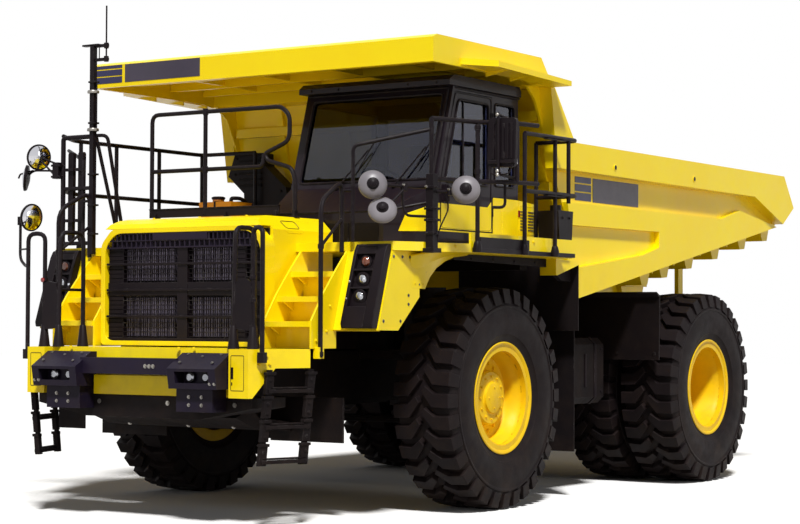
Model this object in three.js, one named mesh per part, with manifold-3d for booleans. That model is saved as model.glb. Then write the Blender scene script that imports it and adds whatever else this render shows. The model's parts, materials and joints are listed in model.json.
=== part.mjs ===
// A rigid mining dump truck at full size, in millimetres: +Z up, the nose towards -Y, the driver's left
// towards +X. Stations along Y are counted from the front axle, and the whole group is centred over the
// ground at the end.
import * as THREE from "three";
import { mergeVertices } from "three/addons/utils/BufferGeometryUtils.js";
import Module from "manifold-3d";

const wasm = await Module();
wasm.setup();

// Running gear
const WHEELBASE = 4300;
const FRONT_WHEEL_X = 1757;
const TWIN_INNER_X = 1165;
const TWIN_OUTER_X = 1915;
const TYRE_RADIUS = 1060;
const TYRE_HALF_WIDTH = 325;
const BEAD_RADIUS = 450;
const FLANGE_RADIUS = 533;
const FLANGE_OFFSET = 265;
const RIM_RADIUS = 448;
const RIM_WALL = 26;
const WHEEL_SIDES = 32;
const KINGPIN_X = 1205;
const STRUT_RADIUS = 150;
const TIE_ROD = { y: 440, z: 800 };
const REAR_STRUT = { x: 660, y: 4620 };

// Frame
const RAIL_INNER = 340;
const RAIL_OUTER = 500;
const RAIL_TOP = 1975;
const FRONT_RAIL_TOP = 1500;
const RAIL_BOTTOM = 1000;
const NOSE_Y = -2410;
const APRON_Y = -2900;

// Dump body
const PIVOT = { y: 5600, z: 1875 };
const PIVOT_PIN = 60;
const BODY_HALF_WIDTH = 1955;
const BODY_OUTER = 2090;
const PLATE = 25;
const FLOOR_FRONT = { y: 1500, z: 2025 };
const FLOOR_REAR = { y: 6740, z: 2975 };
const BODY_TOP = 3605;
const TAIL = { y: 7060, z: 3225 };
const WALL_TOP = { y: 880, z: 4120 };
const POST_FRONT = { y: 1020, z: 3465 };
const CANOPY_FRONT_Y = -1300;
const CANOPY_HALF = 2050;
const CANOPY_TOP = 4400;

// Hoist cylinders
const HOIST_X = 670;
const HOIST_FOOT = { y: 3100, z: 700 };
const HOIST_HEAD = { y: 3200, z: 2140 };
const HOIST_BORE = 106;
const STAGE_RADIUS = 99;
const STAGE_BORE = 82;
const HOIST_ROD_RADIUS = 75;

// Superstructure
const DECK_TOP = 2495;
const DECK_THICKNESS = 80;
const DECK_HALF = 2000;
const DECK_FRONT = -1880;
const DECK_REAR = 870;
const WALKWAY_EDGE = 2300;
const RIGHT_EDGE = -2150;
const CAB = {
  left: 1860,
  right: 180,
  nose: -1280,
  rear: 560,
  floor: 2510,
  sill: 3060,
  head: 4000,
  top: 4100,
};
const CAB_WALL = 60;
const CAB_CORNER = { x: 1500, y: -950 };
const WINDSHIELD = { foot: -930, top: -650 };
const WINDSHIELD_LEAN = (WINDSHIELD.top - WINDSHIELD.foot) / (CAB.head - CAB.sill);
const DOOR = { front: -880, rear: 50, floor: 2645, head: 3950 };
const DOOR_GAP = 6;
const HOOD_HALF = 944;
const HOOD_TOP = 2740;
const HOOD_CHAMFER = 130;
const HOOD_REAR = -1300;
const GRILLE_TOP = 2640;
const PLATFORM_TOP = 1545;
const RAIL_HIGH = 3600;
const RAIL_MIDDLE = 3060;
const REAR_RAIL_HIGH = 3570;
const REAR_RAIL_MIDDLE = 3025;
const TUBE = 21;
const MIRROR_RADIUS = 130;
const STAIR = { inner: 990, outer: 1520, plate: 30 };
const STAIR_NOSINGS = [
  [-2430, 1780],
  [-2230, 2000],
  [-2020, 2225],
];
const FENDER_FOOT = { y: -2105, z: 1710 };
const FENDER_HEAD = { y: -1880, z: 2414 };
const MAST = { x: [-1510, -1422], y: [-1980, -1892] };
const FRONT_LIGHT = { low: 3110, high: 3930 };
const GLASS_EDGE = 1;
const GLASS_THICKNESS = 8;

const YELLOW = { color: 0xf7c800, roughness: 0.45, metalness: 0.1 };
const BLACK = { color: 0x1b191b, roughness: 0.6, metalness: 0.2 };
const STEEL = { color: 0x8f9296, roughness: 0.35, metalness: 0.8 };
const RUBBER = { color: 0x1d1b1c, roughness: 0.9, metalness: 0 };
const GLASS = { color: 0x3a4450, roughness: 0.1, metalness: 0 };
const SEAT = { color: 0x2b2c30, roughness: 0.9, metalness: 0 };

// A closed three.js geometry as a solid that can be joined and cut.
function solid(geometry) {
  const bare = geometry.index ? geometry.toNonIndexed() : geometry.clone();
  bare.deleteAttribute("normal");
  bare.deleteAttribute("uv");
  const merged = mergeVertices(bare, 1e-3);
  const triVerts = new Uint32Array(merged.index.array);
  const vertProperties = merged.attributes.position.array;
  return new wasm.Manifold(new wasm.Mesh({ numProp: 3, vertProperties, triVerts }));
}

const join = (...pieces) => pieces.flat().reduce((all, piece) => all.add(piece));
const cut = (body, ...tools) => tools.flat().reduce((rest, tool) => rest.subtract(tool), body);

function box([x0, x1], [y0, y1], [z0, z1]) {
  const geometry = new THREE.BoxGeometry(x1 - x0, y1 - y0, z1 - z0);
  return solid(geometry.translate((x0 + x1) / 2, (y0 + y1) / 2, (z0 + z1) / 2));
}

// An outline pushed straight along one axis, from one station to another. Its points are pairs of the
// other two coordinates in X, Y, Z order.
const FRAMES = {
  x: (from) => new THREE.Matrix4().set(0, 0, 1, from, 1, 0, 0, 0, 0, 1, 0, 0, 0, 0, 0, 1),
  y: (from, to) => new THREE.Matrix4().set(1, 0, 0, 0, 0, 0, -1, to, 0, 1, 0, 0, 0, 0, 0, 1),
  z: (from) => new THREE.Matrix4().makeTranslation(0, 0, from),
};

function prism(axis, [from, to], outline) {
  const shape = new THREE.Shape(outline.map(([u, v]) => new THREE.Vector2(u, v)));
  const geometry = new THREE.ExtrudeGeometry(shape, { depth: to - from, bevelEnabled: false });
  return solid(geometry.applyMatrix4(FRAMES[axis](from, to)));
}

// A round bar between two points, run on past both ends by the given length.
function rod(start, end, radius, sides = 8, past = 0) {
  const a = new THREE.Vector3(...start);
  const b = new THREE.Vector3(...end);
  const along = b.clone().sub(a);
  const geometry = new THREE.CylinderGeometry(radius, radius, along.length() + 2 * past, sides);
  geometry.applyQuaternion(
    new THREE.Quaternion().setFromUnitVectors(new THREE.Vector3(0, 1, 0), along.normalize()),
  );
  const middle = a.add(b).multiplyScalar(0.5);
  return solid(geometry.translate(middle.x, middle.y, middle.z));
}

function bent(points, radius = TUBE, sides = 6) {
  return join(points.slice(1).map((point, i) => rod(points[i], point, radius, sides, radius * 0.6)));
}

// A ring or drum about a line along X through (y, z). Its profile is a closed list of [radius, x].
function drum(profile, y, z, sides = WHEEL_SIDES) {
  const outline = profile.map(([radius, x]) => new THREE.Vector2(radius, x));
  if (outline[0].x > 0) {
    outline.push(outline[0].clone());
  }
  const geometry = new THREE.LatheGeometry(outline, sides);
  const made = solid(geometry.rotateZ(-Math.PI / 2).translate(0, y, z));
  if (made.volume() > 0) {
    return made;
  }
  const turned = new THREE.LatheGeometry(outline.reverse(), sides);
  return solid(turned.rotateZ(-Math.PI / 2).translate(0, y, z));
}

// The same stretch along X on either side: side is 1 for the driver's left and -1 for the right.
function spread(side, from, to) {
  return side > 0 ? [from, to] : [-to, -from];
}

function heightOnLine(a, b, y) {
  return a.z + ((b.z - a.z) * (y - a.y)) / (b.y - a.y);
}

const truck = new THREE.Group();

function add(name, made, look, mirrored = false) {
  const { vertProperties, triVerts, numProp } = made.getMesh();
  const geometry = new THREE.BufferGeometry();
  geometry.setAttribute("position", new THREE.BufferAttribute(new Float32Array(vertProperties), numProp));
  geometry.setIndex(new THREE.BufferAttribute(new Uint32Array(triVerts), 1));
  geometry.computeVertexNormals();
  const mesh = new THREE.Mesh(geometry, new THREE.MeshStandardMaterial(look));
  mesh.name = name;
  mesh.scale.x = mirrored ? -1 : 1;
  truck.add(mesh);
}

function addPair(name, made, look) {
  add(`${name}_left`, made, look);
  add(`${name}_right`, made, look, true);
}

// ---------------------------------------------------------------- chassis

// One box-section rail: low at the engine, kicked up over the rear axle, with the tipping boss at its end.
function railOutline() {
  const boss = [];
  for (let step = 0; step <= 6; step += 1) {
    const angle = Math.PI / 2 - (step * Math.PI) / 6;
    boss.push([PIVOT.y + 160 * Math.cos(angle), PIVOT.z - 60 + 160 * Math.sin(angle)]);
  }
  return [
    [NOSE_Y, RAIL_BOTTOM + 50],
    [3420, RAIL_BOTTOM],
    [3760, 1560],
    ...boss.reverse(),
    [1950, RAIL_TOP],
    [1250, FRONT_RAIL_TOP],
    [NOSE_Y, FRONT_RAIL_TOP],
  ];
}

function hoistFoot(side) {
  const { y, z } = HOIST_FOOT;
  const web = [
    [y - 190, RAIL_BOTTOM + 120],
    [y - 75, z - 70],
    [y + 75, z - 70],
    [y + 190, RAIL_BOTTOM + 120],
  ];
  const plate = spread(side, RAIL_OUTER - 60, RAIL_OUTER + 40);
  return join(
    prism("x", plate, web),
    rod([side * (RAIL_OUTER + 20), y, z], [side * (HOIST_X + 70), y, z], 42, 16),
  );
}

function frame() {
  const parts = [];
  for (const side of [-1, 1]) {
    const span = spread(side, RAIL_INNER, RAIL_OUTER);
    const hole = rod([span[0] - 5, PIVOT.y, PIVOT.z], [span[1] + 5, PIVOT.y, PIVOT.z], PIVOT_PIN + 6, 16);
    const arm = [
      [side * 420, -230],
      [side * 420, 230],
      [side * (KINGPIN_X - 20), 140],
      [side * (KINGPIN_X - 20), -140],
    ];
    parts.push(
      cut(prism("x", span, railOutline()), hole),
      hoistFoot(side),
      prism("z", [1420, 1500], arm),
      prism("z", [1900, 1980], arm),
      box(spread(side, 330, 520), [-240, 240], [1400, 2010]),
      rod([side * KINGPIN_X, 0, 1330], [side * KINGPIN_X, 0, 2120], STRUT_RADIUS, 16),
      box(spread(side, 360, 490), [620, 760], [1490, 2320]),
      box(spread(side, 480, 560), [4540, 4700], [1640, 1900]),
      box(spread(side, 540, 760), [4540, 4700], [1790, 1870]),
    );
  }
  parts.push(
    box([-RAIL_OUTER, RAIL_OUTER], [NOSE_Y, NOSE_Y + 160], [1060, FRONT_RAIL_TOP]),
    box([-400, 400], [700, 850], [1050, 1450]),
    box([-400, 400], [2500, 2800], [1200, 1800]),
    box([-1850, 1850], [620, 760], [2300, DECK_TOP - DECK_THICKNESS - 1]),
    rod([-400, 5140, 1760], [400, 5140, 1760], 130, 12),
  );
  return join(parts);
}

// Boxes and apron across the nose: deep in the middle, chamfered in plan at the corners.
function frontPlatform() {
  const plan = [
    [-1280, -3010],
    [-1070, -3010],
    [-1070, APRON_Y],
    [1070, APRON_Y],
    [1070, -3010],
    [1280, -3010],
    [1500, NOSE_Y - 1],
    [-1500, NOSE_Y - 1],
  ];
  const undercut = prism("x", [-1070, 1070], [
    [-2720, 1100],
    [-2720, 1345],
    [-2300, 1345],
    [-2300, 1100],
  ]);
  const slopes = [-1, 1].map((side) =>
    prism("x", spread(side, 1069, 1600), [
      [-2990, 1100],
      [-2750, 1380],
      [-2300, 1380],
      [-2300, 1100],
    ]),
  );
  const lip = box([-510, 510], [APRON_Y - 60, APRON_Y + 10], [1130, 1300]);
  return join(cut(prism("z", [1125, PLATFORM_TOP], plan), undercut, slopes), lip);
}

// The two lamp guards and the beam between them, proud of the apron.
function lampGuards() {
  const back = APRON_Y - 0.5;
  const nose = [
    [back, 1200],
    [back, 1508],
    [-2975, 1508],
    [-3190, 1375],
    [-3160, 1200],
  ];
  const guards = [-1, 1].map((side) =>
    join(
      cut(
        prism("x", spread(side, 530, 1060), nose),
        box(spread(side, 610, 980), [-3250, -3050], [1250, 1350]),
      ),
      box(spread(side, 560, 960), [-3090, back], [1000, 1210]),
    ),
  );
  return join(box([-560, 560], [-3090, back], [1315, 1457]), guards);
}

function underGuard() {
  const front = prism("y", [-2895, -2420], [
    [-1240, 1120],
    [-1240, 1035],
    [-660, 925],
    [660, 925],
    [1240, 1035],
    [1240, 1120],
  ]);
  const pan = prism("x", [-860, 860], [
    [-2640, 935],
    [-2350, 830],
    [-1500, 760],
    [-1500, 830],
    [-2300, 925],
    [-2425, 1010],
  ]);
  const skirts = [-1, 1].map((side) => box(spread(side, 620, 1430), [-1815, -1795], [695, 1100]));
  const flap = box([-1260, -940], [-2610, -2590], [785, 1060]);
  return join(front, pan, skirts, flap);
}

// Hanging ladder: two straps and rungs below the corner of the platform.
function ladder() {
  const near = new THREE.Vector2(1342, -2865);
  const far = new THREE.Vector2(1512, -2385);
  const across = far.clone().sub(near).normalize();
  const out = new THREE.Vector2(-across.y, across.x).negate();
  const bar = (from, to, z0, z1, depth) => {
    const offset = out.clone().multiplyScalar(depth);
    const ends = [from, to, to.clone().add(offset), from.clone().add(offset)];
    return prism("z", [z0, z1], ends.map((point) => [point.x, point.y]));
  };
  const step = (t) => near.clone().lerp(far, t);
  const straps = [0, 0.86].map((t) => bar(step(t), step(t + 0.14), 540, 1340, 32));
  const rungs = [560, 860, 1170].map((z) => bar(step(0.05), step(0.95), z, z + 50, 60));
  return join(straps, rungs);
}

// Three treads from the platform to the deck, between two stringers.
function stairs() {
  const width = [STAIR.inner + 20, STAIR.outer - 20];
  const treads = STAIR_NOSINGS.map(([y, z]) => box(width, [y, y + 240], [z - 40, z]));
  const risers = STAIR_NOSINGS.map(([y, z]) => box(width, [y + 40, y + 55], [z - 234, z - 39]));
  const stringer = [
    [-2430, 1546],
    [-2430, 1790],
    [-2250, 2030],
    [-2040, 2260],
    [-1890, 2414],
    [-1780, 2414],
    [-1780, 2180],
    [-2140, 1760],
    [-2140, 1546],
  ];
  const sides = [STAIR.inner, STAIR.outer - STAIR.plate].map((x) =>
    prism("x", [x, x + STAIR.plate], stringer),
  );
  return join(treads, risers, sides);
}

// ---------------------------------------------------------------- engine bay

function engineBlock() {
  return join(
    box([-560, 560], [-1560, -260], [1520, 2380]),
    box([-300, 300], [-1500, 600], [960, 1530]),
  );
}

// The triangle cut away along a top edge of the hood, moved down and in by the wall for its inside.
function hoodCorner(side, along, half, wall = 0) {
  return prism("y", along, [
    [side * (half - HOOD_CHAMFER - wall), HOOD_TOP - wall],
    [side * (half - wall), HOOD_TOP - HOOD_CHAMFER - wall],
    [side * (half + 200), HOOD_TOP - HOOD_CHAMFER - wall],
    [side * (half + 200), HOOD_TOP + 200],
    [side * (half - HOOD_CHAMFER - wall), HOOD_TOP + 200],
  ]);
}

function grille() {
  const surround = box([-966, 966], [-2370, -2220], [1556, GRILLE_TOP]);
  const corners = [-1, 1].map((side) => hoodCorner(side, [-2400, -2200], 966));
  const recess = box([-915, 915], [-2400, -2290], [1600, GRILLE_TOP - 70]);
  return cut(surround, recess, corners);
}

// A shell over the engine: two sides and a top that rolls down to the grille.
function hood() {
  const profile = [
    [-2219, 1620],
    [-2219, GRILLE_TOP + 0.5],
    [-2370, GRILLE_TOP + 0.5],
    [-2345, 2685],
    [-2270, 2720],
    [-2160, HOOD_TOP],
    [HOOD_REAR, HOOD_TOP],
    [HOOD_REAR, 1620],
  ];
  const inside = [
    [-2170, 1500],
    [-2170, HOOD_TOP - 60],
    [-900, HOOD_TOP - 60],
    [-900, 1500],
  ];
  const edge = HOOD_HALF - 50;
  const hollow = cut(
    prism("x", [-edge, edge], inside),
    [-1, 1].map((side) => hoodCorner(side, [-2500, -800], HOOD_HALF, 60)),
  );
  const shell = cut(
    prism("x", [-HOOD_HALF, HOOD_HALF], profile),
    [-1, 1].map((side) => hoodCorner(side, [-2500, -800], HOOD_HALF)),
  );
  return cut(shell, hollow);
}

// ---------------------------------------------------------------- deck and fenders

function deck() {
  const plan = [
    [-DECK_HALF, DECK_FRONT],
    [DECK_HALF, DECK_FRONT],
    [2140, -1590],
    [2140, -1400],
    [WALKWAY_EDGE, -1050],
    [WALKWAY_EDGE, DECK_REAR],
    [RIGHT_EDGE, DECK_REAR],
    [RIGHT_EDGE, -1500],
  ];
  const sheet = prism("z", [DECK_TOP - DECK_THICKNESS, DECK_TOP], plan);
  const bonnet = box([-HOOD_HALF - 1, HOOD_HALF + 1], [-2000, HOOD_REAR + 1], [2300, 2600]);
  const lip = box([WALKWAY_EDGE - 20, WALKWAY_EDGE], [-1050, DECK_REAR], [DECK_TOP - 10, DECK_TOP + 100]);
  const mudguards = [-1, 1].map((side) =>
    prism("x", spread(side, 1960, 2140), [
      [DECK_REAR - 10, DECK_TOP - DECK_THICKNESS],
      [DECK_REAR + 460, 2390],
      [DECK_REAR + 460, 2370],
      [DECK_REAR - 10, 2250],
      [DECK_REAR - 40, 2250],
      [DECK_REAR - 40, DECK_TOP - DECK_THICKNESS + 10],
      [DECK_REAR - 10, DECK_TOP - DECK_THICKNESS + 10],
    ]),
  );
  return join(cut(sheet, bonnet), lip, mudguards);
}

// Outer skin, sloping face behind the lamps, and inner return beside the stairs.
function fender() {
  const foot = FENDER_FOOT;
  const head = FENDER_HEAD;
  const skin = prism("x", [1960, 2000], [
    [head.y + 5, head.z],
    [foot.y + 5, foot.z],
    [-1785, 1707],
    [-1440, 2007],
    [-1440, 2090],
    [-1300, 2230],
    [-1080, 2340],
    [-740, head.z],
  ]);
  const front = prism("x", [STAIR.outer + 2, 1990], [
    [head.y, head.z],
    [foot.y, foot.z],
    [foot.y + 40, foot.z - 10],
    [head.y + 40, head.z],
  ]);
  const inner = prism("x", [STAIR.outer + 2, STAIR.outer + 30], [
    [head.y, head.z],
    [foot.y, foot.z],
    [-1785, 1707],
    [-1600, head.z],
  ]);
  return join(skin, front, inner);
}

// A black housing on the fender's face with two lamps and an indicator above them.
function lampCluster() {
  const rise = FENDER_HEAD.z - FENDER_FOOT.z;
  const lean = (z) => FENDER_FOOT.y + ((z - FENDER_FOOT.z) * (FENDER_HEAD.y - FENDER_FOOT.y)) / rise;
  const housing = prism("x", [1650, 1995], [
    [lean(1725) - 1, 1725],
    [lean(1725) - 70, 1725],
    [lean(1770) - 95, 1770],
    [lean(2400) - 90, 2400],
    [-1930, 2470],
    [-1881, 2470],
    [-1881, 2414],
  ]);
  const lamp = (z, radius) => {
    const y = lean(z) - 85;
    return rod([1785, y, z], [1785, y - 45, z], radius, 16);
  };
  return join(housing, lamp(2006, 60), lamp(2156, 60), lamp(2315, 50));
}

// ---------------------------------------------------------------- cab

function cabOutline(inset = 0) {
  return [
    [CAB.nose + inset, CAB.floor + inset],
    [CAB.nose + inset, 2800 - inset / 2],
    [WINDSHIELD.foot + inset, CAB.sill - inset / 2],
    [WINDSHIELD.top + inset, CAB.head - 0.5 + inset],
    [CAB.rear - inset, CAB.head - 0.5 + inset],
    [CAB.rear - inset, CAB.floor + inset],
  ];
}

// The plan triangle cut off the nose on the driver's side.
function noseCorner(inset = 0) {
  return prism("z", [CAB.floor - 10, CAB.sill + 60], [
    [CAB_CORNER.x - inset, CAB.nose - 50 + inset],
    [CAB_CORNER.x - inset, CAB.nose + inset],
    [CAB.left - inset, CAB_CORNER.y + inset],
    [CAB.left + 50, CAB_CORNER.y + inset],
    [CAB.left + 50, CAB.nose - 50 + inset],
  ]);
}

function doorFace(gap = 0) {
  const slant = DOOR.front + WINDSHIELD_LEAN * (DOOR.head - CAB.sill);
  return [
    [DOOR.front - gap, DOOR.floor - gap],
    [DOOR.front - gap, CAB.sill],
    [slant - gap, DOOR.head + gap],
    [DOOR.rear + gap, DOOR.head + gap],
    [DOOR.rear + gap, DOOR.floor - gap],
  ];
}

// A four-cornered window in a side wall, its front edge leaning with the windshield.
function sideWindow(front, rear, low, high, edge = 0) {
  return [
    [front + edge, low + edge],
    [front + edge + WINDSHIELD_LEAN * (high - low), high - edge],
    [rear - edge, high - edge],
    [rear - edge, low + edge],
  ];
}

const rightWindow = (edge) => sideWindow(-810, 480, 3100, 3900, edge);
const doorWindow = (edge) => sideWindow(DOOR.front + 80, DOOR.rear - 60, 3090, 3880, edge);
const quarterWindow = (edge) => [
  [110 + edge, 3100 + edge],
  [110 + edge, 3900 - edge],
  [480 - edge, 3900 - edge],
  [480 - edge, 3100 + edge],
];

function cabShell() {
  const outer = cut(prism("x", [CAB.right, CAB.left], cabOutline()), noseCorner());
  const inner = cut(
    prism("x", [CAB.right + CAB_WALL, CAB.left - CAB_WALL], cabOutline(CAB_WALL)),
    noseCorner(43),
  );
  return cut(
    outer,
    inner,
    prism("x", [CAB.left - 200, CAB.left + 50], doorFace(DOOR_GAP)),
    box([CAB.right + 90, CAB.left - 90], [-1000, -400], [FRONT_LIGHT.low, FRONT_LIGHT.high]),
    box([CAB.right + 150, CAB.left - 150], [CAB.rear - 150, CAB.rear + 50], [3150, 3850]),
    prism("x", [CAB.right - 50, CAB.right + 150], rightWindow(0)),
    prism("x", [CAB.left - 150, CAB.left + 50], quarterWindow(0)),
  );
}

function cabRoof() {
  return prism("x", [CAB.right - 30, CAB.left + 30], [
    [WINDSHIELD.top - 110, CAB.head + 0.5],
    [WINDSHIELD.top - 110, CAB.head + 50],
    [WINDSHIELD.top - 40, CAB.top],
    [CAB.rear - 20, CAB.top],
    [CAB.rear + 10, CAB.head + 60],
    [CAB.rear + 10, CAB.head + 0.5],
  ]);
}

function cabDoor() {
  const leaf = prism("x", [CAB.left - 50, CAB.left], doorFace());
  const light = prism("x", [CAB.left - 100, CAB.left + 50], doorWindow(0));
  const handle = box([CAB.left - 10, CAB.left + 40], [DOOR.front + 50, DOOR.front + 80], [2900, 3060]);
  return join(cut(leaf, light), handle);
}

function sideGlass(outline, x) {
  return prism("x", [x, x + GLASS_THICKNESS], outline(GLASS_EDGE));
}

function windshield() {
  const face = (z) => WINDSHIELD.foot + (z - CAB.sill) * WINDSHIELD_LEAN + 20;
  const low = FRONT_LIGHT.low + GLASS_EDGE;
  const high = FRONT_LIGHT.high - GLASS_EDGE;
  return prism("x", [CAB.right + 91, CAB.left - 91], [
    [face(low), low],
    [face(high), high],
    [face(high) + GLASS_THICKNESS, high],
    [face(low) + GLASS_THICKNESS, low],
  ]);
}

function rearGlass() {
  const y = CAB.rear - 26;
  return box([CAB.right + 151, CAB.left - 151], [y - GLASS_THICKNESS, y], [3151, 3849]);
}

function operatorSeat() {
  const x = (CAB.left + CAB.right) / 2;
  return join(
    box([x - 130, x + 130], [-160, 140], [CAB.floor + CAB_WALL + 1, 2800]),
    box([x - 260, x + 260], [-300, 230], [2790, 2930]),
    prism("x", [x - 240, x + 240], [
      [160, 2900],
      [250, 3560],
      [350, 3560],
      [290, 2860],
    ]),
    box([x - 330, x - 250], [-190, 210], [3050, 3110]),
    box([x - 300, x - 240], [140, 280], [2920, 3100]),
  );
}

function dashboard() {
  const x = (CAB.left + CAB.right) / 2;
  const centre = [x, -560, 3140];
  const tilt = new THREE.Vector3(0, 0.5, 0.85).normalize();
  const wheel = new THREE.TorusGeometry(225, 18, 6, 20);
  wheel.applyQuaternion(new THREE.Quaternion().setFromUnitVectors(new THREE.Vector3(0, 0, 1), tilt));
  wheel.translate(...centre);
  const column = centre.map((value, i) => value - tilt.toArray()[i] * 420);
  const cowl = prism("x", [CAB.right + 62, CAB.left - 62], [
    [-860, CAB.floor + CAB_WALL + 2],
    [-860, 3000],
    [-790, 3060],
    [-680, 3000],
    [-680, CAB.floor + CAB_WALL + 2],
  ]);
  return join(
    cowl,
    solid(wheel),
    rod(centre, column, 40, 8),
    rod([x - 225, centre[1], centre[2]], [x + 225, centre[1], centre[2]], 16, 6),
    box([x - 60, x + 60], [-790, -680], [2700, 2900]),
  );
}

function cabRearBox() {
  return prism("x", [CAB.right + 100, CAB.left], [
    [CAB.rear + 1, CAB.floor],
    [CAB.rear + 1, 2985],
    [900, 2960],
    [980, CAB.floor],
  ]);
}

// ---------------------------------------------------------------- rails, mirrors and mast

const level = (points, z) => points.map(([x, y]) => [x, y, z]);

// A round convex mirror: a shallow dish whose axis points the given way.
function dish(centre, facing) {
  const to = new THREE.Vector3(...facing).normalize().multiplyScalar(45);
  return rod(centre, centre.map((value, i) => value + to.toArray()[i]), MIRROR_RADIUS, 12);
}

// The hoop beside the stairs and the tall post at the deck's edge, with the stay that ties them to the rail.
function stairRail() {
  return join(
    bent([
      [1548, -2330, 1450],
      [1548, -2330, 2830],
      [1500, -1945, 3040],
      [1500, -1945, 2392],
    ]),
    rod([1548, -2330, 2440], [1500, -1945, 2700], 14, 6, 10),
    rod([1500, -1945, 2950], [1605, -1925, 2950], 14, 6, 10),
    bent([
      [1605, -1925, DECK_TOP + 5],
      [1605, -1925, 3345],
      [2150, -1545, 3500],
    ]),
  );
}

function leftRails() {
  const front = [
    [2180, -1530],
    [2340, -1000],
    [2560, -700],
    [2620, -421],
  ];
  const rear = [
    [2345, -150],
    [2377, 850],
    [1905, 845],
  ];
  return join(
    stairRail(),
    box([2150, 2230], [-1580, -1490], [2400, 3100]),
    bent(level(front, RAIL_HIGH)),
    bent(level(front, RAIL_MIDDLE)),
    rod([2180, -1530, 3000], [2180, -1530, RAIL_HIGH], TUBE, 6, 12),
    rod([2340, -1000, 2400], [2340, -1000, RAIL_HIGH], TUBE, 6, 12),
    rod([2560, -700, RAIL_MIDDLE], [2560, -700, RAIL_HIGH], TUBE, 6, 12),
    box([2301, 2350], [-1030, 860], [2420, 2460]),
    bent(level(rear, REAR_RAIL_HIGH)),
    bent(level(rear, REAR_RAIL_MIDDLE)),
    rod([2345, -150, 2400], [2345, -150, REAR_RAIL_HIGH], TUBE, 6, 12),
    rod([2364, 405, 2400], [2364, 405, REAR_RAIL_HIGH], TUBE, 6, 12),
    rod([2370, 665, REAR_RAIL_MIDDLE - 80], [2370, 665, REAR_RAIL_HIGH], TUBE, 6),
    rod([1905, 845, DECK_TOP + 1], [1905, 845, REAR_RAIL_HIGH], TUBE, 6),
    box([2400, 2720], [-950, -900], [3180, 3640]),
    rod([2150, -1540, 2970], [2100, -1835, 2970], 16, 6, 12),
    rod([2100, -1835, 2970], [1940, -2090, 2980], 12, 6, 12),
    rod([2100, -1835, 2970], [2010, -2030, 2770], 12, 6, 12),
    rod([2190, -1530, 2940], [2500, -1480, 2950], 16, 6, 12),
    dish([1930, -2090, 2980], [-0.35, -0.9, 0.2]),
    dish([2000, -2040, 2755], [-0.2, -0.8, 0.5]),
    dish([2510, -1480, 2950], [0.2, -0.95, 0.1]),
  );
}

// The box-section mast, its ladder frame with two guard slabs, and the whip aerial on its outrigger.
function rightMast() {
  return join(
    box(MAST.x, MAST.y, [2430, 4480]),
    box([-1600, -1390], [-1965, -1905], [4440, 4480]),
    box([-1430, -1280], [-1955, -1915], [4305, 4345]),
    box([-1430, -1290], [-1950, -1920], [4440, 4470]),
    rod([-1310, -1935, 4310], [-1310, -1935, 4850], 10, 6),
    rod([-1861, -1935, 2475], [-1861, -1935, 3590], 26, 8),
    box([-1880, -1460], [-1955, -1915], [3560, 3600]),
    box([-1880, -1460], [-1955, -1915], [3060, 3095]),
    box([-1880, -1460], [-1955, -1915], [2520, 2560]),
    box([-1800, -1725], [-1925, -1875], [2540, 3450]),
    box([-1690, -1610], [-1925, -1875], [2540, 3450]),
    rod([-1466, -1900, 3590], [-1466, -1540, 2520], TUBE, 6),
    bent([
      [-1466, -1910, 3590],
      [-1337, -1880, 3590],
      [-1400, -1540, 2520],
    ]),
  );
}

function rightRails() {
  const line = [
    [-1861, -1935],
    [-2120, -1500],
    [-2120, 540],
    [-1400, 560],
  ];
  const posts = [[-2120, -1400], [-2120, -860], [-2120, -180], [-2120, 540], [-1400, 560]];
  return join(
    rightMast(),
    bent(level(line, RAIL_HIGH)),
    bent(level(line, RAIL_MIDDLE)),
    posts.map(([x, y]) => rod([x, y, DECK_TOP + 1], [x, y, RAIL_HIGH], TUBE, 6)),
    stairRail().mirror([1, 0, 0]),
    box([-1960, -1870], [-2000, -1920], [3170, 3350]),
    rod([-1930, -1960, 3320], [-2130, -1990, 3400], 12, 6, 12),
    rod([-1930, -1960, 3200], [-2130, -1990, 3400], 12, 6, 12),
    rod([-1930, -1960, 3260], [-2300, -1990, 3210], 12, 6, 12),
    dish([-2142, -1990, 3400], [-0.3, -0.9, 0.3]),
    dish([-2300, -1990, 3200], [-0.8, -0.6, 0.1]),
  );
}

// Two grab hoops at the ladder's head, with the slab that closes the platform's edge between them.
function stepRail() {
  return join(
    bent([
      [1365, -2925, 1440],
      [1365, -2925, 2560],
      [1340, -2915, 2590],
      [1240, -2870, 2590],
      [1215, -2860, 2560],
      [1215, -2860, PLATFORM_TOP + 20],
    ]),
    bent([
      [1020, -2880, PLATFORM_TOP + 20],
      [1020, -2880, 2570],
      [1020, -2850, 2600],
      [1005, -2600, 2600],
      [1005, -2570, 2570],
      [1005, -2570, PLATFORM_TOP + 20],
    ]),
    rod([1020, -2880, 2070], [1005, -2570, 2070], 14, 6),
    box([1010, 1225], [-2885, -2855], [1700, 2150]),
    [[1215, -2860], [1020, -2880], [1005, -2570]].map(([x, y]) =>
      rod([x, y, PLATFORM_TOP + 1], [x, y, PLATFORM_TOP + 200], 45, 8),
    ),
  );
}

// The low round mirror that the right hoop carries.
function hoopMirror() {
  return join(
    bent([
      [-1365, -2925, 2290],
      [-1440, -2880, 2290],
      [-1590, -2800, 2335],
      [-1590, -2800, 2730],
    ], 12),
    rod([-1590, -2800, 2720], [-1530, -2770, 2750], 12, 6, 12),
    dish([-1500, -2755, 2752], [-0.5, -0.8, 0.2]),
  );
}

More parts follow.
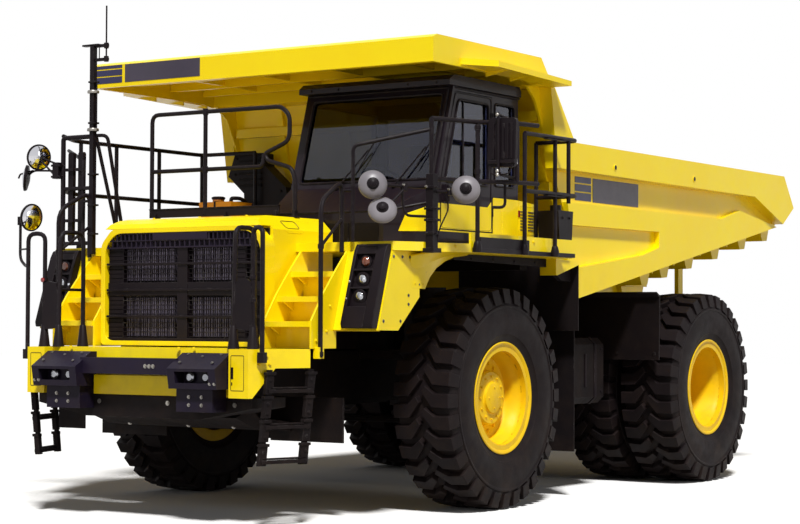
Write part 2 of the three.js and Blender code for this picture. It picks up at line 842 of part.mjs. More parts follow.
function frontRails() {
  const y = -1700;
  const loop = [
    [-920, y, HOOD_TOP + 60],
    [-920, y, 3775],
    [640, y, 3775],
    [735, y, 3690],
    [735, y, 3455],
    [450, y, 3345],
    [480, y, 3280],
    [760, y, 3200],
    [800, y, 3090],
    [800, y, HOOD_TOP + 60],
  ];
  return join(
    bent(loop),
    bent([
      [-920, y, 3225],
      [430, y, 3225],
      [430, y, 3345],
    ]),
    rod([-260, y, HOOD_TOP + 60], [-260, y, 3775], TUBE, 6),
    box([-940, 620], [y - 15, y + 15], [HOOD_TOP + 38, HOOD_TOP + 122]),
    [-860, 0, 590, 800].map((x) => box([x - 30, x + 30], [y - 30, y + 30], [HOOD_TOP + 1, HOOD_TOP + 65])),
  );
}

// The exhaust's heat shroud on the right, behind the rail and ahead of the body's front wall.
function exhaust() {
  return prism("y", [620, 800], [
    [-1580, DECK_TOP + 1],
    [-1600, 3170],
    [-1815, 3360],
    [-1720, 3612],
    [-1340, 3600],
    [-1320, 3460],
    [-1035, 3220],
    [-985, 2940],
    [-985, DECK_TOP + 1],
  ]);
}

function coolantTank() {
  return join(
    box([-1100, -690], [-760, -420], [DECK_TOP + 1, 2985]),
    rod([-985, -590, 2975], [-985, -590, 3035], 60, 12),
  );
}

// The reservoir at the walkway's rear end, narrower at its foot.
function walkwayTank() {
  return join(
    prism("x", [1965, 2200], [
      [800, DECK_TOP + 1],
      [1040, DECK_TOP + 1],
      [1075, 2890],
      [770, 2890],
    ]),
    rod([2080, 930, 2880], [2080, 930, 2950], 55, 10),
  );
}

// ---------------------------------------------------------------- tanks and running gear

function tank() {
  const chamfer = 70;
  return prism("y", [1540, 2720], [
    [RAIL_OUTER + 20, 920],
    [1680 - chamfer, 920],
    [1680, 920 + chamfer],
    [1680, 1620 - chamfer],
    [1680 - chamfer, 1620],
    [RAIL_OUTER + 20, 1620],
  ]);
}

function tyre(x) {
  const half = TYRE_HALF_WIDTH;
  return [
    [BEAD_RADIUS, x - half + 75],
    [BEAD_RADIUS, x + half - 75],
    [560, x + half - 62],
    [760, x + half],
    [985, x + half - 12],
    [TYRE_RADIUS, x + half - 75],
    [TYRE_RADIUS, x - half + 75],
    [985, x - half + 12],
    [760, x - half],
    [560, x - half + 62],
  ];
}

function frontRim() {
  const outer = FRONT_WHEEL_X + FLANGE_OFFSET;
  const inner = FRONT_WHEEL_X - FLANGE_OFFSET;
  const barrel = RIM_RADIUS - RIM_WALL;
  return [
    [0, 1560],
    [240, 1560],
    [240, 1690],
    [barrel, 1720],
    [barrel, inner - 12],
    [FLANGE_RADIUS, inner - 12],
    [FLANGE_RADIUS, inner],
    [RIM_RADIUS, inner],
    [RIM_RADIUS, outer],
    [FLANGE_RADIUS, outer],
    [FLANGE_RADIUS, outer + 12],
    [barrel, outer + 12],
    [barrel, 1790],
    [250, 1750],
    [230, 1900],
    [0, 1930],
  ];
}

function twinRim() {
  const barrel = RIM_RADIUS - RIM_WALL;
  const flanges = [TWIN_INNER_X, TWIN_OUTER_X].map((x) => [
    [RIM_RADIUS, x - FLANGE_OFFSET],
    [RIM_RADIUS, x + FLANGE_OFFSET],
    [FLANGE_RADIUS, x + FLANGE_OFFSET],
    [FLANGE_RADIUS, x + FLANGE_OFFSET + 12],
  ]);
  return [
    [0, 1610],
    [barrel, 1610],
    [barrel, TWIN_INNER_X - FLANGE_OFFSET - 12],
    [FLANGE_RADIUS, TWIN_INNER_X - FLANGE_OFFSET - 12],
    [FLANGE_RADIUS, TWIN_INNER_X - FLANGE_OFFSET],
    ...flanges[0],
    [RIM_RADIUS, TWIN_INNER_X + FLANGE_OFFSET + 12],
    [RIM_RADIUS, TWIN_OUTER_X - FLANGE_OFFSET - 12],
    [FLANGE_RADIUS, TWIN_OUTER_X - FLANGE_OFFSET - 12],
    [FLANGE_RADIUS, TWIN_OUTER_X - FLANGE_OFFSET],
    ...flanges[1],
    [barrel, TWIN_OUTER_X + FLANGE_OFFSET + 12],
    [barrel, 1680],
    [300, 1680],
    [280, 1960],
    [0, 1990],
  ];
}

function knuckle() {
  const z = TYRE_RADIUS;
  return join(
    rod([KINGPIN_X, 0, 780], [KINGPIN_X, 0, 1322], STRUT_RADIUS, 16),
    rod([KINGPIN_X, 0, z], [1550, 0, z], 130, 16),
    rod([1390, 0, z], [1500, 0, z], 330, 16),
    box([KINGPIN_X - 90, KINGPIN_X + 60], [60, TIE_ROD.y + 40], [850, 930]),
  );
}

function tieRod() {
  const reach = KINGPIN_X - 15;
  return rod([-reach, TIE_ROD.y, TIE_ROD.z], [reach, TIE_ROD.y, TIE_ROD.z], 38, 8);
}

function rearAxle() {
  const z = TYRE_RADIUS;
  const y = WHEELBASE;
  const casing = new THREE.SphereGeometry(430, 16, 10);
  casing.translate(0, y, z);
  const parts = [
    solid(casing),
    rod([-1560, y, z], [1560, y, z], 250, 16),
    rod([0, y - 300, z], [0, 3060, z + 60], 150, 10),
    box([-330, 330], [3000, 3180], [z - 60, z + 180]),
  ];
  for (const side of [-1, 1]) {
    const strut = [side * REAR_STRUT.x, REAR_STRUT.y];
    parts.push(
      box(spread(side, REAR_STRUT.x - 100, REAR_STRUT.x + 100), [y, REAR_STRUT.y + 100], [960, 1150]),
      rod([...strut, 1100], [...strut, 1520], 105, 12),
      rod([...strut, 1500], [...strut, 1789], 75, 12),
    );
  }
  return join(parts);
}

// ---------------------------------------------------------------- dump body

const floorUnder = (y) => heightOnLine(FLOOR_FRONT, FLOOR_REAR, y);

function bodyShell() {
  const side = [
    [560, WALL_TOP.z],
    [1140, WALL_TOP.z],
    [1575, BODY_TOP],
    [6760, BODY_TOP],
    [TAIL.y, TAIL.z],
    [FLOOR_REAR.y, FLOOR_REAR.z],
    [FLOOR_FRONT.y + 350, floorUnder(FLOOR_FRONT.y + 350)],
    [FLOOR_FRONT.y, FLOOR_FRONT.z],
    [1420, 2340],
    [1340, 2900],
    [POST_FRONT.y, POST_FRONT.z],
    [896, 3706],
    [735, 3992],
  ];
  const sides = [
    prism("x", [BODY_HALF_WIDTH - PLATE, BODY_HALF_WIDTH], side),
    prism("x", [-BODY_HALF_WIDTH, PLATE - BODY_HALF_WIDTH], side),
  ];
  const floor = prism("x", [-BODY_HALF_WIDTH, BODY_HALF_WIDTH], [
    [FLOOR_FRONT.y, FLOOR_FRONT.z],
    [FLOOR_REAR.y, FLOOR_REAR.z],
    [TAIL.y, TAIL.z],
    [TAIL.y - 30, TAIL.z + 20],
    [FLOOR_REAR.y - 40, FLOOR_REAR.z + 40],
    [FLOOR_FRONT.y + 20, FLOOR_FRONT.z + 40],
  ]);
  const wall = prism("x", [-BODY_HALF_WIDTH, BODY_HALF_WIDTH], [
    [WALL_TOP.y, WALL_TOP.z],
    [POST_FRONT.y, POST_FRONT.z],
    [1340, 2900],
    [1420, 2340],
    [FLOOR_FRONT.y, FLOOR_FRONT.z],
    [FLOOR_FRONT.y + 40, FLOOR_FRONT.z + 40],
    [1465, 2350],
    [1385, 2910],
    [POST_FRONT.y + 45, POST_FRONT.z + 5],
    [WALL_TOP.y + 50, WALL_TOP.z],
  ]);
  return join(sides, floor, wall, [-1, 1].flatMap(bodySide));
}

// What stands proud of the side sheet: the top rail with the post under the canopy, the middle band, the
// chord over the floor, and the rib on the front wall.
function bodySide(side) {
  const plate = spread(side, BODY_HALF_WIDTH - 1, BODY_HALF_WIDTH + 60);
  return [
    prism("x", spread(side, BODY_HALF_WIDTH - 1, BODY_OUTER), [
      [816, WALL_TOP.z],
      [900, WALL_TOP.z],
      [1320, BODY_TOP],
      [6760, BODY_TOP],
      [TAIL.y, TAIL.z],
      [6720, 3010],
      [5850, 3305],
      [950, 3325],
    ]),
    prism("x", plate, [
      [1296, 3005],
      [5062, 3005],
      [3400, 2612],
      [3400, 2786],
      [1362, 2775],
    ]),
    prism("x", plate, [
      [1422, 2335],
      [2990, 2515],
      [5570, 3125],
      [6280, 3035],
      [FLOOR_REAR.y - 40, FLOOR_REAR.z],
      [1850, floorUnder(1850)],
      [FLOOR_FRONT.y, FLOOR_FRONT.z],
    ]),
    prism("x", spread(side, 1830, 1870), [
      [950, 3535],
      [1010, 3535],
      [1360, 2880],
      [1300, 2880],
    ]),
  ];
}

// A shallow tray turned over, with a visor along each side and the beam that rests on the front wall.
function canopy() {
  const z = CANOPY_TOP;
  const whole = prism("x", [-CANOPY_HALF, CANOPY_HALF], [
    [CANOPY_FRONT_Y, z - 255],
    [CANOPY_FRONT_Y, z - 30],
    [CANOPY_FRONT_Y + 60, z],
    [690, z],
    [940, WALL_TOP.z + 1],
    [560, WALL_TOP.z + 1],
    [400, z - 255],
  ]);
  const hollow = prism("x", [40 - CANOPY_HALF, CANOPY_HALF - 40], [
    [CANOPY_FRONT_Y + 40, z - 300],
    [CANOPY_FRONT_Y + 40, z - 60],
    [600, z - 60],
    [600, z - 300],
  ]);
  return join(cut(whole, hollow), [-1, 1].map(visor));
}

function visor(side) {
  const sheet = prism("x", spread(side, CANOPY_HALF - 10, WALKWAY_EDGE), [
    [-830, 4225],
    [858, 4169],
    [858, 4120],
    [-830, 4165],
  ]);
  return cut(sheet, prism("z", [4000, 4300], [
    [side * CANOPY_HALF, -840],
    [side * (WALKWAY_EDGE + 10), -545],
    [side * (WALKWAY_EDGE + 10), -840],
  ]));
}

function bodyBeams() {
  const beams = [];
  const seat = RAIL_TOP + 12;
  for (const y of [3200, 3690, 4330, 5040, 5820, 6500]) {
    beams.push(prism("x", [20 - BODY_HALF_WIDTH, BODY_HALF_WIDTH - 20], [
      [y - 130, floorUnder(y - 130) - 1],
      [y - 70, floorUnder(y) - 140],
      [y + 70, floorUnder(y) - 130],
      [y + 130, floorUnder(y + 130) - 1],
    ]));
  }
  const { y: headY, z: headZ } = HOIST_HEAD;
  const room = [-1, 1].map((side) =>
    box(
      spread(side, RAIL_OUTER + 20, 850),
      [headY - 260, headY + 260],
      [headZ - 200, floorUnder(headY) - 35],
    ),
  );
  return join(cut(join(beams), room), [-1, 1].flatMap((side) => bodySideBeam(side, seat)));
}

// What hangs from the floor on one side: the sill that rests on the frame, the pivot's ears and pin, the
// hoist's lugs and the rock ejector between the twin tyres.
function bodySideBeam(side, seat) {
  const span = spread(side, RAIL_INNER, RAIL_OUTER);
  const parts = [
    prism("x", span, [
      [1700, seat],
      [1700, floorUnder(1700) - 1],
      [6400, floorUnder(6400) - 1],
      [6400, floorUnder(6400) - 150],
      [5900, seat + 60],
      [5400, seat],
    ]),
    rod(
      [side * (RAIL_INNER - 80), PIVOT.y, PIVOT.z],
      [side * (RAIL_OUTER + 80), PIVOT.y, PIVOT.z],
      PIVOT_PIN,
      16,
    ),
    box(spread(side, 1515, 1565), [4830, 4950], [1830, floorUnder(4830) - 20]),
  ];
  for (const edge of [RAIL_INNER - 66, RAIL_OUTER + 6]) {
    parts.push(
      prism("x", spread(side, edge, edge + 60), [
        [5300, 2300],
        [5450, 1770],
        [5520, 1720],
        [5680, 1720],
        [5760, 1770],
        [5950, 2300],
      ]),
      box(spread(side, edge - 60, edge + 120), [5320, 5900], [2230, 2300]),
    );
  }
  for (const offset of [-115, 85]) {
    parts.push(
      prism("x", spread(side, HOIST_X + offset, HOIST_X + offset + 30), [
        [HOIST_HEAD.y - 240, floorUnder(HOIST_HEAD.y - 240) - 1],
        [HOIST_HEAD.y - 90, HOIST_HEAD.z - 60],
        [HOIST_HEAD.y + 90, HOIST_HEAD.z - 60],
        [HOIST_HEAD.y + 240, floorUnder(HOIST_HEAD.y + 240) - 1],
      ]),
    );
  }
  return parts;
}

// ---------------------------------------------------------------- hoist

const hoistLength = Math.hypot(HOIST_HEAD.y - HOIST_FOOT.y, HOIST_HEAD.z - HOIST_FOOT.z);
const hoistPoint = (distance) => {
  const t = distance / hoistLength;
  return [
    HOIST_X,
    HOIST_FOOT.y + (HOIST_HEAD.y - HOIST_FOOT.y) * t,
    HOIST_FOOT.z + (HOIST_HEAD.z - HOIST_FOOT.z) * t,
  ];
};

function hoistBarrel() {
  const { y, z } = HOIST_FOOT;
  const eye = rod([HOIST_X - 90, y, z], [HOIST_X + 60, y, z], 85, 16);
  const bore = rod([HOIST_X - 100, y, z], [HOIST_X + 90, y, z], 46, 16);
  const tube = rod(hoistPoint(60), hoistPoint(hoistLength - 150), 125, 16);
  const hollow = rod(hoistPoint(100), hoistPoint(hoistLength), HOIST_BORE, 16);
  return cut(join(eye, tube), bore, hollow);
}

function hoistStage() {
  const tube = rod(hoistPoint(120), hoistPoint(hoistLength - 120), STAGE_RADIUS, 16);
  const hollow = rod(hoistPoint(140), hoistPoint(hoistLength), STAGE_BORE, 16);
  return cut(tube, hollow);
}

function hoistRod() {
  const [x, y, z] = hoistPoint(hoistLength);
  return join(
    rod(hoistPoint(160), hoistPoint(hoistLength - 40), HOIST_ROD_RADIUS, 16),
    rod([x - 72, y, z], [x + 72, y, z], 78, 16),
  );
}

// ---------------------------------------------------------------- assembly

add("frame", frame(), BLACK);
add("front_platform", frontPlatform(), YELLOW);
add("lamp_guards", lampGuards(), BLACK);
add("under_guard", underGuard(), BLACK);
addPair("ladder", ladder(), RUBBER);
addPair("stairs", stairs(), YELLOW);
add("engine", engineBlock(), STEEL);
add("grille", grille(), YELLOW);
add("hood", hood(), YELLOW);
add("deck", deck(), BLACK);
addPair("fender", fender(), YELLOW);
addPair("lamp_cluster", lampCluster(), BLACK);

add("cab_shell", cabShell(), BLACK);
add("cab_roof", cabRoof(), BLACK);
add("cab_rear_box", cabRearBox(), YELLOW);
add("cab_door", cabDoor(), BLACK);
add("door_glass", sideGlass(doorWindow, CAB.left - 32), GLASS);
add("windshield", windshield(), GLASS);
add("right_glass", sideGlass(rightWindow, CAB.right + 24), GLASS);
add("quarter_glass", sideGlass(quarterWindow, CAB.left - 32), GLASS);
add("rear_glass", rearGlass(), GLASS);
add("operator_seat", operatorSeat(), SEAT);
add("dashboard", dashboard(), BLACK);

add("handrail_left", leftRails(), BLACK);
add("handrail_right", rightRails(), BLACK);
add("handrail_front", frontRails(), BLACK);
add("step_rail_left", stepRail(), BLACK);
add("step_rail_right", join(stepRail().mirror([1, 0, 0]), hoopMirror()), BLACK);
add("exhaust", exhaust(), BLACK);
add("coolant_tank", coolantTank(), BLACK);
add("walkway_tank", walkwayTank(), BLACK);

addPair("tank", tank(), BLACK);
addPair("knuckle", knuckle(), BLACK);
add("tie_rod", tieRod(), BLACK);
add("rear_axle", rearAxle(), BLACK);

addPair("front_rim", drum(frontRim(), 0, TYRE_RADIUS), YELLOW);
addPair("front_tyre", drum(tyre(FRONT_WHEEL_X), 0, TYRE_RADIUS), RUBBER);
addPair("rear_rim", drum(twinRim(), WHEELBASE, TYRE_RADIUS), YELLOW);
addPair("inner_tyre", drum(tyre(TWIN_INNER_X), WHEELBASE, TYRE_RADIUS), RUBBER);
addPair("outer_tyre", drum(tyre(TWIN_OUTER_X), WHEELBASE, TYRE_RADIUS), RUBBER);

add("dump_body", bodyShell(), YELLOW);
add("canopy", canopy(), YELLOW);
add("body_beams", bodyBeams(), YELLOW);
addPair("hoist_barrel", hoistBarrel(), BLACK);
addPair("hoist_stage", hoistStage(), STEEL);
addPair("hoist_rod", hoistRod(), STEEL);

// The origin is on the ground under the middle of the bounding box.
const bounds = new THREE.Box3().setFromObject(truck);
const middle = bounds.getCenter(new THREE.Vector3());
truck.position.set(-middle.x, -middle.y, -bounds.min.z);

export default truck;
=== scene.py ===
"""Looks of the mining dump truck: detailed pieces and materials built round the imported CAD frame.

Lengths are metres. Points are given from the front axle's middle on the ground, +X to the driver's left,
+Y rearward and +Z up, and moved into the row frame when a piece is finished.
"""

import json
import math

import bmesh
import bpy
from mathutils import Matrix, Vector

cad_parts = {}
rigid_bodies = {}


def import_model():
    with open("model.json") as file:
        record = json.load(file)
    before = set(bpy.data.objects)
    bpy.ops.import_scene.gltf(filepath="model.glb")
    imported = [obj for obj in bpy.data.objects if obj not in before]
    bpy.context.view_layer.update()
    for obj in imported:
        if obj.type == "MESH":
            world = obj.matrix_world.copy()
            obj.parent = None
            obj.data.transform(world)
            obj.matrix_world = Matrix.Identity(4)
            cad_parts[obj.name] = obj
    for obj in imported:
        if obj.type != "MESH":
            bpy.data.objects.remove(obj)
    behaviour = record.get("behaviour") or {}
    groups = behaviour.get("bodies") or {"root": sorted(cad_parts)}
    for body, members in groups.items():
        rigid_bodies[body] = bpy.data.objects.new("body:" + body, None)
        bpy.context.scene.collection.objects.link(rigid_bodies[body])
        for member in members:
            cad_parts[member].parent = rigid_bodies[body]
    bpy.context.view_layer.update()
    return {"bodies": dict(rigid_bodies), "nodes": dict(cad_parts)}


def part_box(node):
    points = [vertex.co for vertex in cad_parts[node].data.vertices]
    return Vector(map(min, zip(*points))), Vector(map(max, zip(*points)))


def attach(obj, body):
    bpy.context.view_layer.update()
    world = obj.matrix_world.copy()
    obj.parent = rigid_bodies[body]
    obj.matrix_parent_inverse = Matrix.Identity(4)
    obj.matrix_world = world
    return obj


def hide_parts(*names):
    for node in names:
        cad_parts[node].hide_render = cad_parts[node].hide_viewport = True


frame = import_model()


def middle(node):
    low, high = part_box(node)
    return (low + high) / 2


AXLE = Vector((
    (middle("front_rim_left").x + middle("front_rim_right").x) / 2,
    middle("front_rim_left").y,
    0,
))
WHEEL_RADIUS = middle("front_rim_left").z
REAR_AXLE_Y = middle("rear_rim_left").y - AXLE.y
TYRE_HALF = 0.325
TUBE = 0.021
CORNER_STEPS = 4
CHASSIS = "chassis"


# ---------------------------------------------------------------- camera


# Solved against the picture: metres from the front axle's middle, degrees, and millimetres.
CAMERA_PLACE = Vector((11.681, -16.442, 1.782))
CAMERA_TURN = 33.399
CAMERA_TILT = 91.729
CAMERA_ROLL = 0.206
LENS = 89.55
SENSOR = 36


def add_camera():
    data = bpy.data.cameras.new("camera")
    data.lens = LENS
    data.sensor_width = SENSOR
    data.clip_end = 200
    camera = bpy.data.objects.new("camera", data)
    camera.location = AXLE + CAMERA_PLACE
    turn = Matrix.Rotation(math.radians(CAMERA_TURN), 4, "Z")
    tilt = Matrix.Rotation(math.radians(CAMERA_TILT), 4, "X")
    roll = Matrix.Rotation(math.radians(CAMERA_ROLL), 4, "Z")
    camera.matrix_world = Matrix.Translation(camera.location) @ turn @ tilt @ roll
    bpy.context.scene.collection.objects.link(camera)
    bpy.context.scene.camera = camera


# ---------------------------------------------------------------- materials


def srgb(red, green, blue):
    def channel(value):
        value /= 255
        return value / 12.92 if value <= 0.04045 else ((value + 0.055) / 1.055) ** 2.4

    return (channel(red), channel(green), channel(blue), 1)


class Look:
    """A node material grown step by step round one Principled shader."""

    def __init__(self, name, **inputs):
        self.material = bpy.data.materials.new(name)
        self.material.use_nodes = True
        self.tree = self.material.node_tree
        self.shader = self.tree.nodes["Principled BSDF"]
        for key, value in inputs.items():
            self.shader.inputs[key.replace("_", " ")].default_value = value
        self.place = self.node("ShaderNodeTexCoord").outputs["Object"]

    def node(self, kind, **settings):
        made = self.tree.nodes.new(kind)
        for key, value in settings.items():
            setattr(made, key, value)
        return made

    def link(self, output, target):
        self.tree.links.new(output, target)

    def noise(self, scale, detail=4):
        made = self.node("ShaderNodeTexNoise")
        made.inputs["Scale"].default_value = scale
        made.inputs["Detail"].default_value = detail
        made.inputs["Roughness"].default_value = 0.6
        self.link(self.place, made.inputs["Vector"])
        return made.outputs["Fac"]

    def ranged(self, source, low, high, to_low=0, to_high=1):
        made = self.node("ShaderNodeMapRange")
        for key, value in (("From Min", low), ("From Max", high), ("To Min", to_low), ("To Max", to_high)):
            made.inputs[key].default_value = value
        self.link(source, made.inputs["Value"])
        return made.outputs["Result"]

    def times(self, first, second):
        made = self.node("ShaderNodeMath", operation="MULTIPLY")
        self.link(first, made.inputs[0])
        if isinstance(second, (int, float)):
            made.inputs[1].default_value = second
        else:
            self.link(second, made.inputs[1])
        return made.outputs["Value"]

    def mix(self, factor, first, second):
        made = self.node("ShaderNodeMix", data_type="RGBA")
        self.link(factor, made.inputs["Factor"])
        for socket, value in ((made.inputs["A"], first), (made.inputs["B"], second)):
            if isinstance(value, tuple):
                socket.default_value = value
            else:
                self.link(value, socket)
        return made.outputs["Result"]

    def edges(self, radius):
        """Near 1 where a bevel of that radius would turn the surface, and 0 on flat faces."""
        bevel = self.node("ShaderNodeBevel", samples=3)
        bevel.inputs["Radius"].default_value = radius
        geometry = self.node("ShaderNodeNewGeometry")
        dot = self.node("ShaderNodeVectorMath", operation="DOT_PRODUCT")
        self.link(bevel.outputs["Normal"], dot.inputs[0])
        self.link(geometry.outputs["Normal"], dot.inputs[1])
        return self.ranged(dot.outputs["Value"], 0.99, 0.86)

    def height(self, low, high):
        """1 below low and 0 above high, along Z."""
        split = self.node("ShaderNodeSeparateXYZ")
        self.link(self.place, split.inputs["Vector"])
        return self.ranged(split.outputs["Z"], low, high, 1, 0)

    def bump(self, source, strength, distance=0.002):
        made = self.node("ShaderNodeBump")
        made.inputs["Strength"].default_value = strength
        made.inputs["Distance"].default_value = distance
        self.link(source, made.inputs["Height"])
        self.link(made.outputs["Normal"], self.shader.inputs["Normal"])


def painted(name, colour, shade, worn, *, rough, dust, wear=0.006, dusty=0.3, bump=0.15, **inputs):
    """Paint or plastic: cloudy colour, dust low down, rubbed edges and a faint skin."""
    look = Look(name, **inputs)
    cloud = look.ranged(look.noise(1.1), 0.35, 0.7)
    colour_out = look.mix(cloud, srgb(*colour), srgb(*shade))
    grime = look.times(look.ranged(look.noise(5, 6), 0.42, 0.75), look.height(0.4, 2.6))
    colour_out = look.mix(look.times(grime, dusty), colour_out, srgb(*dust))
    if wear:
        rubbed = look.times(look.edges(wear), look.ranged(look.noise(14, 5), 0.5, 0.62))
        colour_out = look.mix(look.times(rubbed, 0.7), colour_out, srgb(*worn))
    look.link(colour_out, look.shader.inputs["Base Color"])
    mottle = look.ranged(look.noise(9, 5), 0.3, 0.7, rough - 0.06, rough + 0.09)
    look.link(mottle, look.shader.inputs["Roughness"])
    look.bump(look.noise(120, 2), bump)
    return look.material


def glass_look(name, colour, haze_colour):
    look = Look(name, Metallic=0, IOR=1.45, Transmission_Weight=1, Specular_IOR_Level=0.35)
    haze = look.ranged(look.noise(2.5, 5), 0.4, 0.8)
    look.link(look.mix(haze, srgb(*colour), srgb(*haze_colour)), look.shader.inputs["Base Color"])
    look.link(look.ranged(look.noise(6, 6), 0.4, 0.9, 0.0, 0.05), look.shader.inputs["Roughness"])
    look.bump(look.noise(1.5, 0), 0.02, 0.0005)
    return look.material


def add_materials():
    """Every look by name. Colours are sRGB from 0 to 255: main, cloudy shade, rubbed edge."""
    dust = (150, 118, 60)
    dark_dust = (58, 46, 38)
    undercoat = (150, 104, 20)
    steel = (92, 88, 88)
    pale = (190, 188, 184)
    matt = {"dust": dark_dust, "Specular_IOR_Level": 0.1}
    return {
        "yellow": painted("yellow_paint", (255, 229, 6), (253, 222, 4), undercoat, rough=0.34,
                          dust=dust, wear=0.004, Specular_IOR_Level=0.3, Coat_Weight=0.08),
        # The rims' deeper yellow is painted shade: it darkens them as if their deep dishes lay in shadow.
        "rim": painted("rim_yellow_painted_shade", (247, 206, 8), (236, 190, 6), undercoat, rough=0.4,
                       dust=dust, wear=0.004, Specular_IOR_Level=0.25),
        "black": painted("black_paint", (27, 21, 25), (20, 15, 19), steel, rough=0.42, **matt),
        "navy_black": painted("guard_paint", (34, 28, 46), (24, 19, 33), steel, rough=0.34,
                              wear=0.004, **matt),
        "chassis": painted("chassis_paint", (17, 11, 12), (11, 7, 8), steel, rough=0.6, **matt),
        "shell": painted("cab_paint", (32, 25, 32), (24, 18, 24), steel, rough=0.34, wear=0.004,
                         Coat_Weight=0.15, **matt),
        "steel": painted("dark_steel", (84, 82, 84), (58, 56, 58), pale, rough=0.38,
                         dust=dark_dust, Metallic=0.9),
        "rod": painted("polished_rod", (196, 198, 202), (170, 172, 178), pale, rough=0.16,
                       dust=dark_dust, Metallic=1),
        "bolt": painted("zinc", (160, 156, 150), (120, 116, 112), pale, rough=0.35,
                        dust=dark_dust, wear=0, Metallic=0.9),
        "rubber": painted("tyre_rubber", (22, 16, 18), (16, 11, 12), (40, 32, 34), rough=0.6,
                          wear=0.01, bump=0.5, **matt),
        "strap": painted("strap_rubber", (22, 17, 19), (15, 11, 13), steel, rough=0.7, bump=0.5,
                         **matt),
        "seat": painted("seat_fabric", (44, 43, 50), (30, 29, 36), (80, 80, 84), rough=0.9,
                        dust=dark_dust, bump=0.8, Sheen_Weight=0.3),
        "dash": painted("dash_plastic", (36, 33, 38), (26, 24, 28), (70, 68, 70), rough=0.55,
                        bump=0.4, **matt),
        "mirror_back": painted("mirror_back", (132, 128, 134), (104, 100, 106), (60, 58, 60),
                               rough=0.4, dust=dark_dust, wear=0.004),
        "mirror": painted("mirror_face", (214, 214, 218), (196, 196, 202), pale, rough=0.09,
                          dust=dust, wear=0, bump=0.01, Metallic=1),
        "navy": painted("stripe_film", (28, 27, 78), (20, 20, 62), (90, 90, 120), rough=0.35,
                        dust=dust, wear=0.002),
        "plate": painted("blank_plate", (58, 50, 68), (48, 41, 58), (120, 116, 124), rough=0.35,
                         dust=dust, wear=0.002),
        "header": painted("grille_header", (40, 33, 48), (31, 25, 38), steel, rough=0.35, **matt),
        "amber": painted("amber_lens", (120, 52, 14), (84, 34, 8), (200, 130, 80), rough=0.12,
                         dust=dark_dust, wear=0, Coat_Weight=0.6),
        "red": painted("red_lens", (150, 22, 20), (110, 14, 14), (210, 90, 80), rough=0.2,
                       dust=dark_dust, wear=0, Coat_Weight=0.6),
        "lens": painted("lamp_lens", (190, 192, 198), (120, 122, 130), pale, rough=0.1,
                        dust=dark_dust, wear=0, Metallic=0.8),
        "fins": painted("radiator_fins", (104, 96, 112), (70, 64, 76), pale, rough=0.42,
                        dust=dark_dust, Metallic=0.5, wear=0),
        "amber_tank": painted("amber_plastic", (190, 124, 14), (160, 96, 8), (220, 180, 90),
                              rough=0.3, dust=dust, wear=0.004),
        "glass": glass_look("cab_glass", (126, 134, 176), (112, 118, 156)),
    }


LOOKS = add_materials()


# ---------------------------------------------------------------- mesh helpers


def box(bm, xs, ys, zs):
    corners = [Vector((x, y, z)) for z in zs for y in ys for x in xs]
    v = [bm.verts.new(c) for c in corners]
    for a, b, c, d in ((0, 2, 3, 1), (4, 5, 7, 6), (0, 1, 5, 4), (2, 6, 7, 3), (0, 4, 6, 2), (1, 3, 7, 5)):
        bm.faces.new((v[a], v[b], v[c], v[d]))


def loft(bm, loops, closed=False):
    """Joins loops of points into one skin with capped ends, or a ring when closed."""
    rows = [[bm.verts.new(p) for p in loop] for loop in loops]
    count = len(rows[0])
    pairs = list(zip(rows, rows[1:])) + ([(rows[-1], rows[0])] if closed else [])
    for low, high in pairs:
        for i in range(count):
            j = (i + 1) % count
            bm.faces.new((low[i], low[j], high[j], high[i]))
    if not closed:
        bm.faces.new(rows[0][::-1])
        bm.faces.new(rows[-1])


AXES = {
    "x": lambda s, u, v: Vector((s, u, v)),
    "y": lambda s, u, v: Vector((u, s, v)),
    "z": lambda s, u, v: Vector((u, v, s)),
}


def prism(bm, axis, span, outline):
    """An outline pushed along an axis; its points are the other two coordinates in X, Y, Z order."""
    place = AXES[axis]
    loft(bm, [[place(s, u, v) for u, v in outline] for s in span])


def rounded(points, radius, closed=False):
    """The path with each corner turned by a short curve of about that radius."""
    points = [Vector(p) for p in points]
    count = len(points)
    made = []
    for i, corner in enumerate(points):
        if not closed and i in (0, count - 1):
            made.append(corner)
            continue
        before = points[i - 1] - corner
        after = points[(i + 1) % count] - corner
        reach = min(radius, before.length * 0.45, after.length * 0.45)
        start = corner + before.normalized() * reach
        end = corner + after.normalized() * reach
        for k in range(CORNER_STEPS + 1):
            t = k / CORNER_STEPS
            made.append(start * (1 - t) ** 2 + corner * 2 * t * (1 - t) + end * t * t)
    return made


def rounded_outline(points, radius):
    """An outline for prism() with its corners rounded."""
    return [(p.x, p.z) for p in rounded([(u, 0, v) for u, v in points], radius, closed=True)]


def tube(bm, points, radius=TUBE, sides=10, bend=0.07, closed=False):
    """A round bar swept along a path with rounded corners."""
    path = rounded(points, bend, closed=closed)
    count = len(path)
    normal = None
    loops = []
    for i, point in enumerate(path):
        ahead = path[(i + 1) % count] if closed or i < count - 1 else point
        behind = path[i - 1] if closed or i > 0 else point
        along = (ahead - behind).normalized()
        if normal is None:
            normal = along.orthogonal().normalized()
        normal = (normal - along * normal.dot(along)).normalized()
        side = along.cross(normal)
        loops.append([
            point + (normal * math.cos(a) + side * math.sin(a)) * radius
            for a in (math.tau * k / sides for k in range(sides))
        ])
    loft(bm, loops, closed)


def rod(bm, start, end, radius, sides=16):
    tube(bm, [start, end], radius, sides)


def lathe(bm, profile, y, z, sides=64):
    """A closed profile of (radius, x) turned about the line along X through (y, z)."""
    loops = []
    for k in range(sides):
        c, s = math.cos(math.tau * k / sides), math.sin(math.tau * k / sides)
        loops.append([Vector((x, y + r * c, z + r * s)) for r, x in profile])
    loft(bm, loops, closed=True)
    bmesh.ops.remove_doubles(bm, verts=bm.verts, dist=1e-5)


